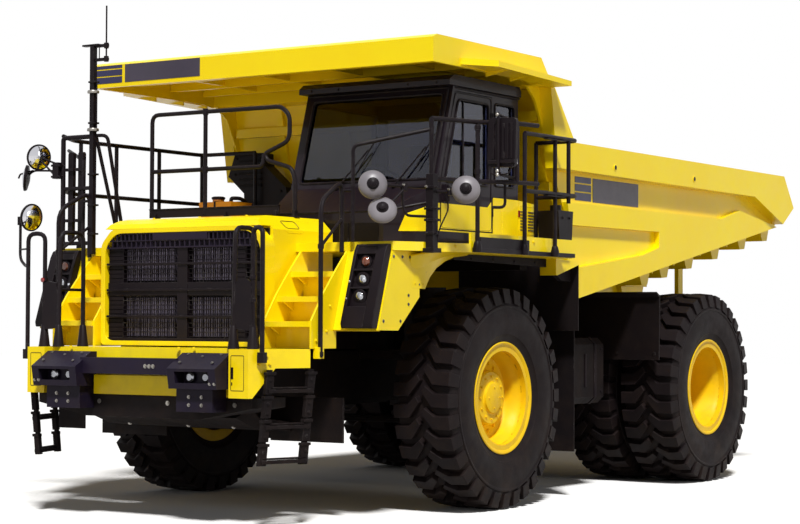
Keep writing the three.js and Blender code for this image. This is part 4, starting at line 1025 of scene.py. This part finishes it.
MIRRORS = {
    "front_high": ((1.93, -2.09, 2.98), (0.58, -0.8, 0.12)),
    "front_low": ((2.0, -2.04, 2.755), (0.5, -0.75, 0.42)),
    "side": ((2.51, -1.48, 2.95), (0.5, -0.85, 0.14)),
}
RIGHT_MIRRORS = {
    "mast_high": ((-2.142, -1.99, 3.4), (0.93, -0.33, -0.12)),
    "mast_low": ((-2.3, -1.99, 3.2), (-0.8, -0.6, 0.1)),
    "hoop": ((-1.5, -2.755, 2.752), (0.96, -0.1, -0.1)),
}


def add_domed_mirror(name, centre, facing):
    """A grey domed shell whose mirror looks back at the driver, with its swivel boss."""
    back = bmesh.new()
    disc(back, centre, facing, [(0.128, 0.0), (0.128, 0.008), (0.118, 0.03), (0.09, 0.052), (0.05, 0.064),
                                (0.012, 0.068)], 36)
    piece(f"mirror_{name}_shell", back, CHASSIS, "mirror_back", 0)
    glass = bmesh.new()
    disc(glass, centre, facing, [(0.116, 0.002), (0.11, -0.006), (0.06, -0.016), (0.01, -0.02)], 36)
    piece(f"mirror_{name}_glass", glass, CHASSIS, "mirror", 0)
    boss = bmesh.new()
    disc(boss, Vector(centre) + Vector(facing).normalized() * 0.06, facing,
         [(0.052, -0.012), (0.055, 0.004), (0.036, 0.012), (0.034, 0.034), (0.014, 0.044)], 18)
    piece(f"mirror_{name}_boss", boss, CHASSIS, "black", 0)


def add_mast_mirror(name, centre, facing):
    """A round mirror with a thin dark rim, its glass towards the front."""
    rim = bmesh.new()
    disc(rim, centre, facing,
         [(0.05, -0.03), (0.122, -0.012), (0.13, 0.0), (0.13, 0.014), (0.12, 0.016)], 36)
    piece(f"mirror_{name}_rim", rim, CHASSIS, "black", 0)
    glass = bmesh.new()
    disc(glass, centre, facing, [(0.12, 0.012), (0.1, 0.026), (0.06, 0.036), (0.01, 0.04)], 36)
    piece(f"mirror_{name}_glass", glass, CHASSIS, "mirror", 0)


def square_mirror(bm):
    """The tall mirror's ribbed back, its frame and clamps."""
    outline = rounded_outline([(2.405, 3.19), (2.7, 3.18), (2.718, 3.63), (2.42, 3.64)], 0.05)
    prism(bm, "y", (-0.948, -0.93, -0.905), outline)
    for x in (2.47, 2.52, 2.57, 2.62, 2.66):
        box(bm, (x, x + 0.02), (-0.962, -0.945), (3.26, 3.58))
    box(bm, (2.43, 2.7), (-0.966, -0.945), (3.22, 3.25))
    tube(bm, [(2.54, -0.97, 3.68), (2.54, -0.97, 3.12), (2.56, -0.72, 3.1)], 0.013)
    tube(bm, [(2.54, -0.97, 3.66), (2.56, -0.7, 3.62)], 0.013)
    tube(bm, [(2.44, -0.955, 3.2), (2.46, -0.955, 3.12), (2.64, -0.955, 3.12), (2.68, -0.955, 3.2)], 0.007)


def mirror_clamps(bm):
    for z in (3.66, 3.15, 3.115):
        disc(bm, (2.54, -0.985, z), (0, -1, 0), [(0.016, 0), (0.016, 0.012), (0.008, 0.018)], 12)
    for x, y, z in ((2.1, -1.85, 2.985), (2.36, -1.52, 2.955), (2.17, -1.595, 2.98)):
        disc(bm, (x, y, z), (0, -0.6, 0.6), [(0.014, 0), (0.014, 0.014)], 6)


def square_mirror_glass(bm):
    box(bm, (2.43, 2.7), (-0.906, -0.9), (3.21, 3.61))


MAST_Y = -1.935


def mast(bm):
    """The box mast with its side tube, clamps, cap and whip aerial."""
    box(bm, (-1.497, -1.447), (-1.965, -1.912), (2.43, 4.48))
    tube(bm, [(-1.43, MAST_Y, 3.62), (-1.43, MAST_Y, 4.12)], 0.008, 8)
    box(bm, (-1.6, -1.39), (-1.965, -1.905), (4.462, 4.48))
    for z in (2.62, 2.9, 3.2, 3.7, 4.1):
        box(bm, (-1.507, -1.422), (-1.975, -1.902), (z, z + 0.018))
    for z in (4.31, 4.445):
        box(bm, (-1.44, -1.285), (-1.95, -1.92), (z, z + 0.03))
    for z in (4.3, 4.43):
        disc(bm, (-1.31, MAST_Y, z), (0, 0, 1), [(0.024, 0), (0.024, 0.055)], 12)
    tube(bm, [(-1.31, MAST_Y, 4.31), (-1.31, MAST_Y, 4.847)], 0.0085, 8)
    tube(bm, [(-1.4, MAST_Y, 4.33), (-1.4, MAST_Y, 4.45)], 0.006, 6)


def mast_collars(bm):
    for z in (3.63, 4.0):
        disc(bm, (-1.4725, -1.9375, z), (0, 0, 1),
             [(0.056, 0), (0.058, 0.008), (0.058, 0.02), (0.054, 0.028)], 20)


def mast_frame(bm):
    """The tubular frame beside the mast, its two tall slabs and the arms of the right mirrors."""
    tube(bm, [(-1.861, MAST_Y, 2.48), (-1.861, MAST_Y, 3.58), (-1.5, MAST_Y, 3.58)], 0.024, 12, 0.03)
    for z in (3.078, 2.54):
        tube(bm, [(-1.87, MAST_Y, z), (-1.5, MAST_Y, z)], 0.02)
    for x in (-1.78, -1.65):
        slab = [(x - 0.03, 2.56), (x + 0.03, 2.56), (x + 0.04, 3.44), (x - 0.03, 3.44)]
        prism(bm, "y", (-1.92, -1.88), rounded_outline(slab, 0.03))
        for z in (2.75, 3.25):
            box(bm, (x - 0.05, x + 0.06), (-1.945, -1.915), (z, z + 0.03))
    tube(bm, [(-1.466, -1.9, 3.59), (-1.466, -1.54, 2.52)], 0.018)
    tube(bm, [(-1.466, -1.91, 3.59), (-1.337, -1.88, 3.59), (-1.4, -1.54, 2.52)], 0.018, bend=0.09)
    box(bm, (-1.95, -1.875), (-1.995, -1.925), (3.18, 3.34))
    for z in (3.19, 3.3):
        box(bm, (-1.965, -1.845), (-2.0, -1.92), (z, z + 0.02))
    tube(bm, [(-1.93, -1.96, 3.33), (-2.13, -1.985, 3.4)], 0.01)
    tube(bm, [(-1.93, -1.96, 3.2), (-2.13, -1.985, 3.38)], 0.01)
    tube(bm, [(-1.93, -1.96, 3.26), (-2.2, -2.0, 3.27), (-2.3, -1.985, 3.21)], 0.01)
    tube(bm, [(-2.2, -2.0, 3.27), (-2.38, -2.0, 3.24), (-2.4, -2.0, 3.2)], 0.009)


def right_rail(bm):
    line = [(-1.861, -1.935), (-2.12, -1.5), (-2.12, 0.54), (-1.4, 0.56)]
    for z in (3.6, 3.06):
        tube(bm, [(x, y, z) for x, y in line], bend=0.1)
    for x, y in ((-2.12, -1.4), (-2.12, -0.86), (-2.12, -0.18), (-2.12, 0.54), (-1.4, 0.56)):
        tube(bm, [(x, y, 2.497), (x, y, 3.6)])
        disc(bm, (x, y, 2.496), (0, 0, 1), [(0.04, 0), (0.04, 0.04), (0.03, 0.08)], 14)


def hoop_reflector(bm):
    disc(bm, (-1.215, -2.887, 2.16), (0, -1, 0), [(0.022, 0), (0.022, 0.008), (0.016, 0.012)], 16)


def add_rails():
    single(deck_fascia_bolts, "yellow", 0)
    single(fascia_box, "black")
    single(deck_studs, "yellow", 0)
    single(left_rail, "black", 0, ("handrail_left",))
    pair(stair_rail, "black", 0)
    single(mirror_pole, "black", 0.002)
    single(square_mirror, "black", 0.003)
    single(square_mirror_glass, "mirror", 0.001)
    single(mirror_clamps, "bolt", 0)
    single(mast, "black", 0.003, ("handrail_right",))
    single(mast_collars, "bolt", 0.001)
    single(mast_frame, "black", 0.003)
    single(right_rail, "black", 0)
    single(hoop_reflector, "red", 0)
    for name, (centre, facing) in MIRRORS.items():
        add_domed_mirror(name, centre, facing)
    for name, (centre, facing) in RIGHT_MIRRORS.items():
        add_mast_mirror(name, centre, facing)


# ---------------------------------------------------------------- cab

CAB_SIDE = 1.86
CAB_NOSE = -1.28


def cab_side_panel(bm):
    """The yellow panel round the door's lower edge, stepped up at the rear box."""
    x = CAB_SIDE
    prism(bm, "x", (x, x + 0.006), [(-0.945, 2.625), (-0.945, 2.88), (-0.887, 2.886), (-0.887, 2.639),
                                   (0.077, 2.639), (0.077, 2.973), (0.09, 2.985), (0.555, 2.985),
                                   (0.555, 2.625)])
    prism(bm, "x", (x, x + 0.006), [(0.565, 2.625), (0.565, 2.982), (0.898, 2.958), (0.965, 2.625)])


def door_panel(bm):
    """The yellow lower half of the door, in line with the panel behind it."""
    prism(bm, "x", (CAB_SIDE, CAB_SIDE + 0.006), [(-0.873, 2.652), (-0.873, 2.886), (-0.02, 2.886),
                                                 (0.043, 2.943), (0.043, 2.652)])


def cab_nose_panel(bm):
    """The same yellow round the cut-off corner of the nose."""
    front, back = Vector((1.5, CAB_NOSE, 0)), Vector((CAB_SIDE, -0.95, 0))
    out = Vector((0.7, -0.75, 0)).normalized() * 0.006
    corners = [(0.28, 2.62), (0.42, 2.78), (1.0, 2.88), (1.0, 2.62)]
    near = [front.lerp(back, t) + Vector((0, 0, z)) for t, z in corners]
    loft(bm, [near, [p + out for p in near]])


def nose_recess(bm):
    """The dark sheet and its two ribs between the cab's nose and the deck."""
    box(bm, (0.3, 1.45), (CAB_NOSE - 0.004, CAB_NOSE + 0.004), (2.52, 2.7))
    for x in (0.7, 1.1):
        box(bm, (x, x + 0.012), (CAB_NOSE - 0.01, CAB_NOSE), (2.52, 2.7))


def louvre_slots(bm):
    """Two columns of slots in the rear box's side."""
    for y0 in (0.6, 0.75):
        for k in range(7):
            z = 2.87 - k * 0.03
            box(bm, (CAB_SIDE + 0.004, CAB_SIDE + 0.011), (y0, y0 + 0.11), (z, z + 0.011))


def louvre_frame(bm):
    x = CAB_SIDE + 0.006
    outline = [(x, 0.58, 2.93), (x, 0.58, 2.655), (x, 0.885, 2.655), (x, 0.885, 2.93)]
    tube(bm, outline, 0.003, 6, 0.01, closed=True)
    tube(bm, [(x, 0.25, 2.97), (x, 0.25, 2.64)], 0.002, 5)


def red_marker(bm):
    box(bm, (CAB_SIDE + 0.004, CAB_SIDE + 0.014), (0.555, 0.585), (2.82, 2.885))


def door_trim(bm):
    """Window frame, seam, handle and hinges of the door."""
    x = CAB_SIDE + 0.002
    window = [(-0.8, 3.09), (-0.565, 3.88), (-0.01, 3.88), (-0.01, 3.09)]
    tube(bm, [(x, y, z) for y, z in window], 0.012, 8, 0.05, closed=True)
    seam = [(-0.87, 2.66), (-0.87, 3.07), (-0.615, 3.94), (0.04, 3.94), (0.04, 2.66)]
    tube(bm, [(x, y, z) for y, z in seam], 0.005, 6, 0.05, closed=True)
    tube(bm, [(x + 0.01, -0.8, 2.9), (x + 0.05, -0.8, 2.91), (x + 0.05, -0.8, 3.05), (x + 0.01, -0.8, 3.06)],
         0.01, 8, 0.02)
    for z in (2.8, 3.7):
        rod(bm, (x + 0.013, 0.05, z), (x + 0.013, 0.05, z + 0.1), 0.008, 12)


def door_window_bar(bm):
    x = CAB_SIDE - 0.02
    tube(bm, [(x, -0.44, 3.1), (x, -0.44, 3.87)], 0.008, 8)


def cab_seals(bm):
    """Window seals, the roof's drip rail, wipers and a grab rail on the pillar."""
    y, z = -0.912, 3.11
    top_y, top_z = -0.668, 3.93
    tube(bm, [(0.272, y, z), (0.272, top_y, top_z), (1.768, top_y, top_z), (1.768, y, z)], 0.014, 8, 0.05,
         closed=True)
    x = CAB_SIDE + 0.002
    tube(bm, [(x, 0.11, 3.1), (x, 0.11, 3.9), (x, 0.48, 3.9), (x, 0.48, 3.1)], 0.01, 8, 0.04, closed=True)
    right = [(0.178, -0.8, 3.1), (0.178, -0.57, 3.9), (0.178, 0.48, 3.9), (0.178, 0.48, 3.1)]
    tube(bm, right, 0.01, 8, 0.04, closed=True)
    tube(bm, [(0.2, -0.65, 3.985), (CAB_SIDE, -0.65, 3.985), (CAB_SIDE + 0.015, 0.55, 3.985)], 0.012, 8)
    for x in (0.75, 1.4):
        tube(bm, [(x, -0.96, 3.055), (x + 0.28, -0.84, 3.42)], 0.008, 6)
        tube(bm, [(x + 0.2, -0.9, 3.22), (x + 0.36, -0.81, 3.54)], 0.006, 6)
        disc(bm, (x, -0.95, 3.04), (0, -0.8, 0.6), [(0.025, 0), (0.02, 0.03)], 14)
    grab = [(1.8, -0.93, 3.12), (1.83, -0.86, 3.15), (1.83, -0.68, 3.75), (1.8, -0.7, 3.78)]
    tube(bm, grab, 0.01, 8, 0.03)


def pillar_ribs(bm):
    """Pressed ribs along the A pillar and the sill fold across the nose."""
    tube(bm, [(1.815, -0.945, 3.08), (1.815, -0.665, 3.98)], 0.01, 8)
    tube(bm, [(0.2, -1.275, 2.805), (1.5, -1.275, 2.805), (1.852, -0.955, 2.9)], 0.012, 8)


def roof_trim(bm):
    for x0, x1 in ((0.25, 0.9), (1.1, 1.78)):
        box(bm, (x0, x1), (-0.4, 0.4), (4.1, 4.118))
    for x in (0.3, 0.62, 1.42, 1.74):
        bolt(bm, (x, -0.762, 4.025), (0, -1, 0), 0.009)
    rod(bm, (1.5, 0.3, 4.1), (1.5, 0.3, 4.13), 0.05, 18)


def seat_base(bm):
    """Base, suspension box and armrests; the cushions are their own pieces."""
    box(bm, (0.9, 1.14), (-0.15, 0.13), (2.572, 2.66))
    box(bm, (0.86, 1.18), (-0.2, 0.18), (2.7, 2.79))
    for k in range(5):
        box(bm, (0.88, 1.16), (-0.17, 0.15), (2.665 + k * 0.008, 2.669 + k * 0.008))
    for x in (0.72, 1.3):
        box(bm, (x, x + 0.05), (-0.17, 0.2), (3.07, 3.11))
        tube(bm, [(x + 0.025, 0.2, 3.08), (x + 0.025, 0.24, 2.95)], 0.014, 8)


def cushion(low, high, axis):
    """A padded block, thinner towards its rim along the axis given."""
    def draw(bm):
        box(bm, (low[0], high[0]), (low[1], high[1]), (low[2], high[2]))
        bmesh.ops.subdivide_edges(bm, edges=bm.edges[:], cuts=5, use_grid_fill=True)
        centre = (Vector(low) + Vector(high)) / 2
        half = (Vector(high) - Vector(low)) / 2
        for v in bm.verts:
            n = Vector(((v.co[i] - centre[i]) / half[i] for i in range(3)))
            flat = [i for i in range(3) if i != axis]
            round_off = 1 - 0.25 * (n[flat[0]] ** 4 + n[flat[1]] ** 4) / 2
            v.co[axis] = centre[axis] + n[axis] * half[axis] * round_off
            for i in flat:
                v.co[i] = centre[i] + n[i] * half[i] * (1 - 0.04 * n[axis] ** 2)

    return draw


def lean_back(made, degrees, pivot):
    """Turns a finished piece about a line along X."""
    turn = Matrix.Translation(pivot) @ Matrix.Rotation(math.radians(degrees), 4, "X")
    made.data.transform(turn @ Matrix.Translation(-pivot))


def dash_body(bm):
    side = [(-0.86, 2.58), (-0.86, 2.99), (-0.8, 3.05), (-0.7, 3.0), (-0.68, 2.9), (-0.72, 2.58)]
    prism(bm, "x", (0.243, 1.797), rounded_outline(side, 0.04))
    box(bm, (0.8, 1.24), (-0.86, -0.72), (3.0, 3.09))
    box(bm, (0.36, 0.62), (-0.84, -0.72), (3.0, 3.14))
    tube(bm, [(1.02, -0.66, 2.75), (1.02, -0.575, 3.12)], 0.035, 14)
    box(bm, (1.22, 1.36), (-0.3, 0.1), (2.6, 2.98))
    tube(bm, [(1.29, -0.18, 2.98), (1.29, -0.2, 3.14)], 0.01, 8)


def steering_wheel(bm):
    centre = Vector((1.02, -0.56, 3.14))
    facing = Vector((0, 0.5, 0.85)).normalized()
    turn = facing.to_track_quat("Z", "Y").to_matrix()
    grip = ring(centre, turn, 0.215, 0, 32)
    tube(bm, grip, 0.015, 8, 0.001, closed=True)
    for k in (0, 11, 21):
        tube(bm, [grip[k], centre], 0.011, 8)
    disc(bm, centre - facing * 0.03, facing, [(0.05, 0), (0.05, 0.03), (0.035, 0.045)], 18)


def add_cab():
    single(cab_side_panel, "yellow", 0.001)
    single(door_panel, "yellow", 0.001, body="cab_door")
    single(cab_nose_panel, "yellow", 0.001)
    single(nose_recess, "chassis", 0.001)
    single(louvre_slots, "plate", 0)
    single(louvre_frame, "yellow", 0)
    single(red_marker, "red", 0.001)
    single(door_trim, "black", 0, body="cab_door")
    single(door_window_bar, "black", 0, body="cab_door")
    single(cab_seals, "black", 0)
    single(pillar_ribs, "black", 0)
    single(roof_trim, "black", 0.003)
    single(seat_base, "dash", 0.004, ("operator_seat",))
    base_shape = cushion((0.77, -0.29, 2.79), (1.27, 0.22, 2.92), 2)
    back_shape = cushion((0.79, 0.15, 2.92), (1.25, 0.26, 3.56), 1)
    base = single(base_shape, "seat", 0.004, name="seat_cushion")
    back = single(back_shape, "seat", 0.004, name="seat_back")
    lean_back(back, -8, AXLE + Vector((1.02, 0.2, 2.9)))
    single(dash_body, "dash", 0.004, ("dashboard",))
    single(steering_wheel, "dash", 0)


# ---------------------------------------------------------------- dump body and canopy

BODY = "dump_body"


def lip_plate(bm):
    box(bm, (-1.626, -0.66), (-1.304, -1.298), (4.186, 4.366))


def lip_stripes(bm):
    for low, high in ((4.335, 4.366), (4.262, 4.322), (4.186, 4.25)):
        box(bm, (-2.04, -1.664), (-1.304, -1.298), (low, high))


def side_plates(bm):
    for side in (-1, 1):
        xs = sorted((side * 1.953, side * 1.959))
        box(bm, xs, (1.95, 3.0), (3.035, 3.285))


def side_stripes(bm):
    for side in (-1, 1):
        xs = sorted((side * 1.953, side * 1.959))
        for low, high in ((3.222, 3.285), (3.135, 3.208), (3.04, 3.12)):
            box(bm, xs, (1.56, 1.91), (low, high))


def canopy_ribs(bm):
    """Stiffeners under the canopy and the gussets below its visors."""
    for y in (-0.75, -0.15, 0.4):
        box(bm, (-2.0, 2.0), (y, y + 0.04), (4.22, 4.34))
    for x in (-1.3, -0.45, 0.45, 1.3):
        box(bm, (x, x + 0.04), (-1.26, 0.6), (4.24, 4.34))
    for side in (-1, 1):
        for y in (-0.35, 0.1, 0.5, 0.83):
            prism(bm, "y", (y, y + 0.018), [(side * 2.03, 4.17), (side * 2.28, 4.16), (side * 2.28, 4.15),
                                            (side * 2.03, 4.1)])


def wall_ribs(bm):
    """Upright and level stiffeners on the front wall's face."""
    line = [(0.875, 4.12), (1.015, 3.465), (1.335, 2.9), (1.415, 2.35)]
    for x in (-1.3, -0.45, 0.45, 1.3):
        outline = line + [(y - 0.05, z) for y, z in reversed(line)]
        prism(bm, "x", (x - 0.04, x + 0.04), outline)
    for z, y in ((3.85, 0.93), (3.15, 1.19)):
        box(bm, (-1.9, 1.9), (y - 0.07, y + 0.01), (z - 0.05, z + 0.05))


def lifting_rims(bm):
    """The rims of the lifting holes in the top rail."""
    for side in (-1, 1):
        for y in (2.2, 4.14):
            x = side * 2.09
            disc(bm, (x, y, 3.41), (side, 0, 0), [(0.034, 0), (0.034, 0.006), (0.026, 0.007)], 18)


def lifting_holes(bm):
    for side in (-1, 1):
        for y in (2.2, 4.14):
            disc(bm, (side * 2.09, y, 3.41), (side, 0, 0), [(0.025, 0), (0.025, 0.0075), (0.02, 0.0078)], 18)


def floor_ribs(bm):
    """Cross stiffeners between the floor's bolsters."""
    for y, z in ((3.45, 2.42), (4.0, 2.52), (4.7, 2.65), (5.45, 2.78)):
        box(bm, (-1.9, 1.9), (y, y + 0.03), (z - 0.09, z + 0.02))


def add_body():
    single(lip_plate, "plate", 0.001, body=BODY)
    single(lip_stripes, "navy", 0.001, body=BODY)
    single(side_plates, "plate", 0.001, body=BODY)
    single(side_stripes, "navy", 0.001, body=BODY)
    single(canopy_ribs, "yellow", 0.004, body=BODY)
    single(wall_ribs, "yellow", 0.004, body=BODY)
    single(lifting_rims, "yellow", 0.001, body=BODY)
    single(lifting_holes, "black", 0, body=BODY)
    single(floor_ribs, "yellow", 0.004, body=BODY)


# ---------------------------------------------------------------- hoist and under the deck

HOIST_FOOT = Vector((0.67, 3.1, 0.7))
HOIST_HEAD = Vector((0.67, 3.2, 2.14))


def on_hoist(distance):
    return HOIST_FOOT + (HOIST_HEAD - HOIST_FOOT).normalized() * distance


def hoist_tube(bm, start, end, radius, bore):
    """A hollow cylinder along the hoist."""
    along = (HOIST_HEAD - HOIST_FOOT).normalized()
    turn = along.to_track_quat("Z", "Y").to_matrix()
    loops = []
    sides = 36
    for k in range(sides):
        a = math.tau * k / sides
        outward = Vector((math.cos(a), math.sin(a), 0))
        profile = [(radius, start), (radius, end), (bore, end), (bore, start)]
        loops.append([HOIST_FOOT + turn @ (outward * r) + along * d for r, d in profile])
    loft(bm, loops, closed=True)


LENGTH = (HOIST_HEAD - HOIST_FOOT).length


def hoist_barrel(bm):
    hoist_tube(bm, 0.09, LENGTH - 0.15, 0.122, 0.106)
    hoist_tube(bm, LENGTH - 0.2, LENGTH - 0.148, 0.132, 0.106)
    hoist_tube(bm, 0.085, 0.14, 0.132, 0.001)
    x, y, z = HOIST_FOOT
    eye = [(0.047, -0.085), (0.082, -0.085), (0.085, -0.07), (0.085, 0.045), (0.082, 0.058), (0.047, 0.058)]
    lathe(bm, [(r, x + dx) for r, dx in eye], y, z, 32)
    tube(bm, [on_hoist(0.2) + Vector((0.125, 0, 0)), on_hoist(1.1) + Vector((0.13, 0, 0))], 0.012, 8)


def hoist_stage(bm):
    hoist_tube(bm, 0.13, LENGTH - 0.12, 0.098, 0.082)


def hoist_rod(bm):
    hoist_tube(bm, 0.16, LENGTH - 0.05, 0.075, 0.001)
    x, y, z = HOIST_HEAD
    eye = [(0.001, -0.07), (0.074, -0.07), (0.078, -0.058), (0.078, 0.058), (0.074, 0.07), (0.001, 0.07)]
    lathe(bm, [(r, x + dx) for r, dx in eye], y, z, 32)


def strut_gaiter(bm):
    for k in range(9):
        z = 1.52 + k * 0.032
        disc(bm, (1.205, 0, z), (0, 0, 1), [(0.155, 0), (0.172, 0.014), (0.155, 0.028)], 28)


def tank_straps(bm):
    """Straps, filler neck, gauge and bolts on the side tanks."""
    for y in (1.72, 2.5):
        outline = [(0.6, 0.912), (1.612, 0.912), (1.69, 0.988), (1.69, 1.552), (1.612, 1.63), (0.6, 1.63)]
        prism(bm, "y", (y, y + 0.05), outline)
    rod(bm, (1.5, 2.1, 1.6), (1.52, 2.1, 1.68), 0.06, 20)
    for y, z in ((1.6, 1.5), (1.6, 1.05), (2.66, 1.5), (2.66, 1.05)):
        bolt(bm, (1.68, y, z), (1, 0, 0), 0.014)
    rod(bm, (1.685, 2.3, 1.1), (1.685, 2.3, 1.45), 0.014, 10)


def coolant_cap(bm):
    """The coolant tank's cap, its hose and a strap."""
    disc(bm, (-0.985, -0.59, 3.02), (0, 0, 1), [(0.066, 0), (0.07, 0.008), (0.07, 0.022), (0.05, 0.03)], 20)
    tube(bm, [(-0.83, -0.58, 2.98), (-0.83, -0.58, 3.03), (-0.75, -0.5, 3.03), (-0.68, -0.4, 2.9)], 0.02, 8)
    box(bm, (-0.905, -0.885), (-0.768, -0.41), (2.9, 2.992))


def exhaust_slots(bm):
    """Ribs and fasteners on the exhaust's shroud, and the pipe that leads to it."""
    for k in range(5):
        z = 3.24 + k * 0.066
        box(bm, (-1.66, -1.36), (0.608, 0.622), (z, z + 0.03))
    for x, z in ((-1.7, 3.55), (-1.37, 3.55), (-1.72, 3.38), (-1.1, 3.18), (-1.03, 2.97)):
        bolt(bm, (x, 0.62, z), (0, -1, 0), 0.013)
    tube(bm, [(-1.15, 0.6, 2.75), (-0.9, 0.5, 2.95), (-0.6, 0.45, 2.9), (-0.45, 0.3, 2.6)], 0.07, 16, 0.2)
    for k in range(6):
        disc(bm, (-0.62, 0.45 - k * 0.001, 2.62 + k * 0.05), (0, 0, 1),
             [(0.14, 0), (0.145, 0.01), (0.14, 0.03)], 20)


def engine_pipes(bm):
    """Pipes, air cleaner and filters round the plain engine block."""
    tube(bm, [(0.3, -1.5, 2.4), (0.3, -1.6, 2.55), (-0.1, -1.6, 2.6), (-0.3, -1.2, 2.5)], 0.05, 14, 0.2)
    tube(bm, [(-0.62, -1.2, 1.7), (-0.66, -0.8, 2.0), (-0.5, -0.2, 2.1), (-0.5, 0.3, 2.3)], 0.05, 14, 0.2)
    for y in (-1.3, -1.1, -0.9):
        rod(bm, (0.62, y, 1.6), (0.62, y, 1.85), 0.055, 18)
    rod(bm, (-0.2, -0.3, 2.44), (0.3, -0.3, 2.44), 0.1, 20)


def walkway_tank_cap(bm):
    rod(bm, (2.08, 0.93, 2.88), (2.08, 0.93, 2.95), 0.056, 18)
    for z in (2.58, 2.82):
        bolt(bm, (2.201, 0.86, z), (1, 0, 0), 0.01)
        bolt(bm, (2.201, 1.0, z), (1, 0, 0), 0.01)


def add_running_gear():
    pair(hoist_barrel, "chassis", 0.002, "hoist_barrel", body="hoist_barrel")
    pair(hoist_stage, "rod", 0.001, "hoist_stage", body="hoist_stage")
    pair(hoist_rod, "rod", 0.001, "hoist_rod", body="hoist_rod")
    pair(strut_gaiter, "strap", 0)
    pair(tank_straps, "black", 0.002)
    single(coolant_cap, "black", 0.001)
    single(exhaust_slots, "chassis", 0.001)
    single(engine_pipes, "steel", 0.002)
    single(walkway_tank_cap, "black", 0.001)


# ---------------------------------------------------------------- stage and light


WORLD_LIGHT = 0.09
FLOOR_HALF = 60
FLOOR_BOUNCE = (0.3, 0.25, 0.18, 1)
WHITE = (1, 1, 1, 1)
OFF_WHITE = (0.98, 0.98, 0.98, 1)


def clean_rays(nodes, links):
    """1 for the rays that show the background itself: straight, mirrored and through glass."""
    path = nodes.new("ShaderNodeLightPath")
    total = path.outputs["Is Camera Ray"]
    for kind in ("Is Glossy Ray", "Is Transmission Ray"):
        most = nodes.new("ShaderNodeMath")
        most.operation = "MAXIMUM"
        links.new(total, most.inputs[0])
        links.new(path.outputs[kind], most.inputs[1])
        total = most.outputs[0]
    return total


def add_floor():
    """A pale floor: white to the eye, and duller to the light it throws back up under the truck."""
    bm = bmesh.new()
    box(bm, (-FLOOR_HALF, FLOOR_HALF), (-FLOOR_HALF, FLOOR_HALF), (-0.02, -0.001))
    mesh = bpy.data.meshes.new("floor")
    bm.to_mesh(mesh)
    bm.free()
    floor = bpy.data.objects.new("floor", mesh)
    look = Look("pale_floor", Roughness=1, Specular_IOR_Level=0)
    seen = look.mix(look.ranged(look.noise(0.4), 0.3, 0.7), WHITE, OFF_WHITE)
    tree = look.material.node_tree
    look.link(look.mix(clean_rays(tree.nodes, tree.links), FLOOR_BOUNCE, seen),
              look.shader.inputs["Base Color"])
    mesh.materials.append(look.material)
    bpy.context.scene.collection.objects.link(floor)


def add_area(name, place, size, power):
    data = bpy.data.lights.new(name, "AREA")
    data.shape = "DISK"
    data.size = size
    data.energy = power
    lamp = bpy.data.objects.new(name, data)
    lamp.location = place
    aim = AXLE + Vector((0, 1.5, 1.8)) - Vector(place)
    lamp.rotation_euler = aim.to_track_quat("-Z", "Y").to_euler()
    bpy.context.scene.collection.objects.link(lamp)


def add_sun(elevation, azimuth, level, spread):
    """A far lamp that lights a white face turned to it at the level given, where 1 is plain white."""
    data = bpy.data.lights.new("key", "SUN")
    data.energy = level * math.pi
    data.angle = math.radians(spread)
    data.color = (1, 0.99, 0.97)
    lamp = bpy.data.objects.new("key", data)
    up, round_z = math.radians(elevation), math.radians(azimuth)
    aim = -Vector((math.cos(up) * math.sin(round_z), -math.cos(up) * math.cos(round_z), math.sin(up)))
    lamp.rotation_euler = aim.to_track_quat("-Z", "Y").to_euler()
    bpy.context.scene.collection.objects.link(lamp)


def add_world():
    world = bpy.data.worlds.new("studio")
    bpy.context.scene.world = world
    world.use_nodes = True
    nodes, links = world.node_tree.nodes, world.node_tree.links
    seen, light = nodes["Background"], nodes.new("ShaderNodeBackground")
    seen.inputs["Color"].default_value = WHITE
    seen.inputs["Strength"].default_value = 1
    light.inputs["Color"].default_value = (1, 0.98, 0.96, 1)
    light.inputs["Strength"].default_value = WORLD_LIGHT
    mix = nodes.new("ShaderNodeMixShader")
    links.new(clean_rays(nodes, links), mix.inputs["Fac"])
    links.new(light.outputs["Background"], mix.inputs[1])
    links.new(seen.outputs["Background"], mix.inputs[2])
    links.new(mix.outputs["Shader"], nodes["World Output"].inputs["Surface"])


def add_stage():
    add_floor()
    add_world()
    add_sun(elevation=52, azimuth=38, level=1.3, spread=7)
    add_area("side", AXLE + Vector((18, 1, 5)), size=6, power=300)
    add_area("front", AXLE + Vector((3, -19, 4)), size=6, power=220)
    bpy.context.scene.view_settings.view_transform = "Standard"


add_camera()
dress_cad()
add_wheels()
add_front()
add_fenders()
add_rails()
add_cab()
add_body()
add_running_gear()
add_stage()
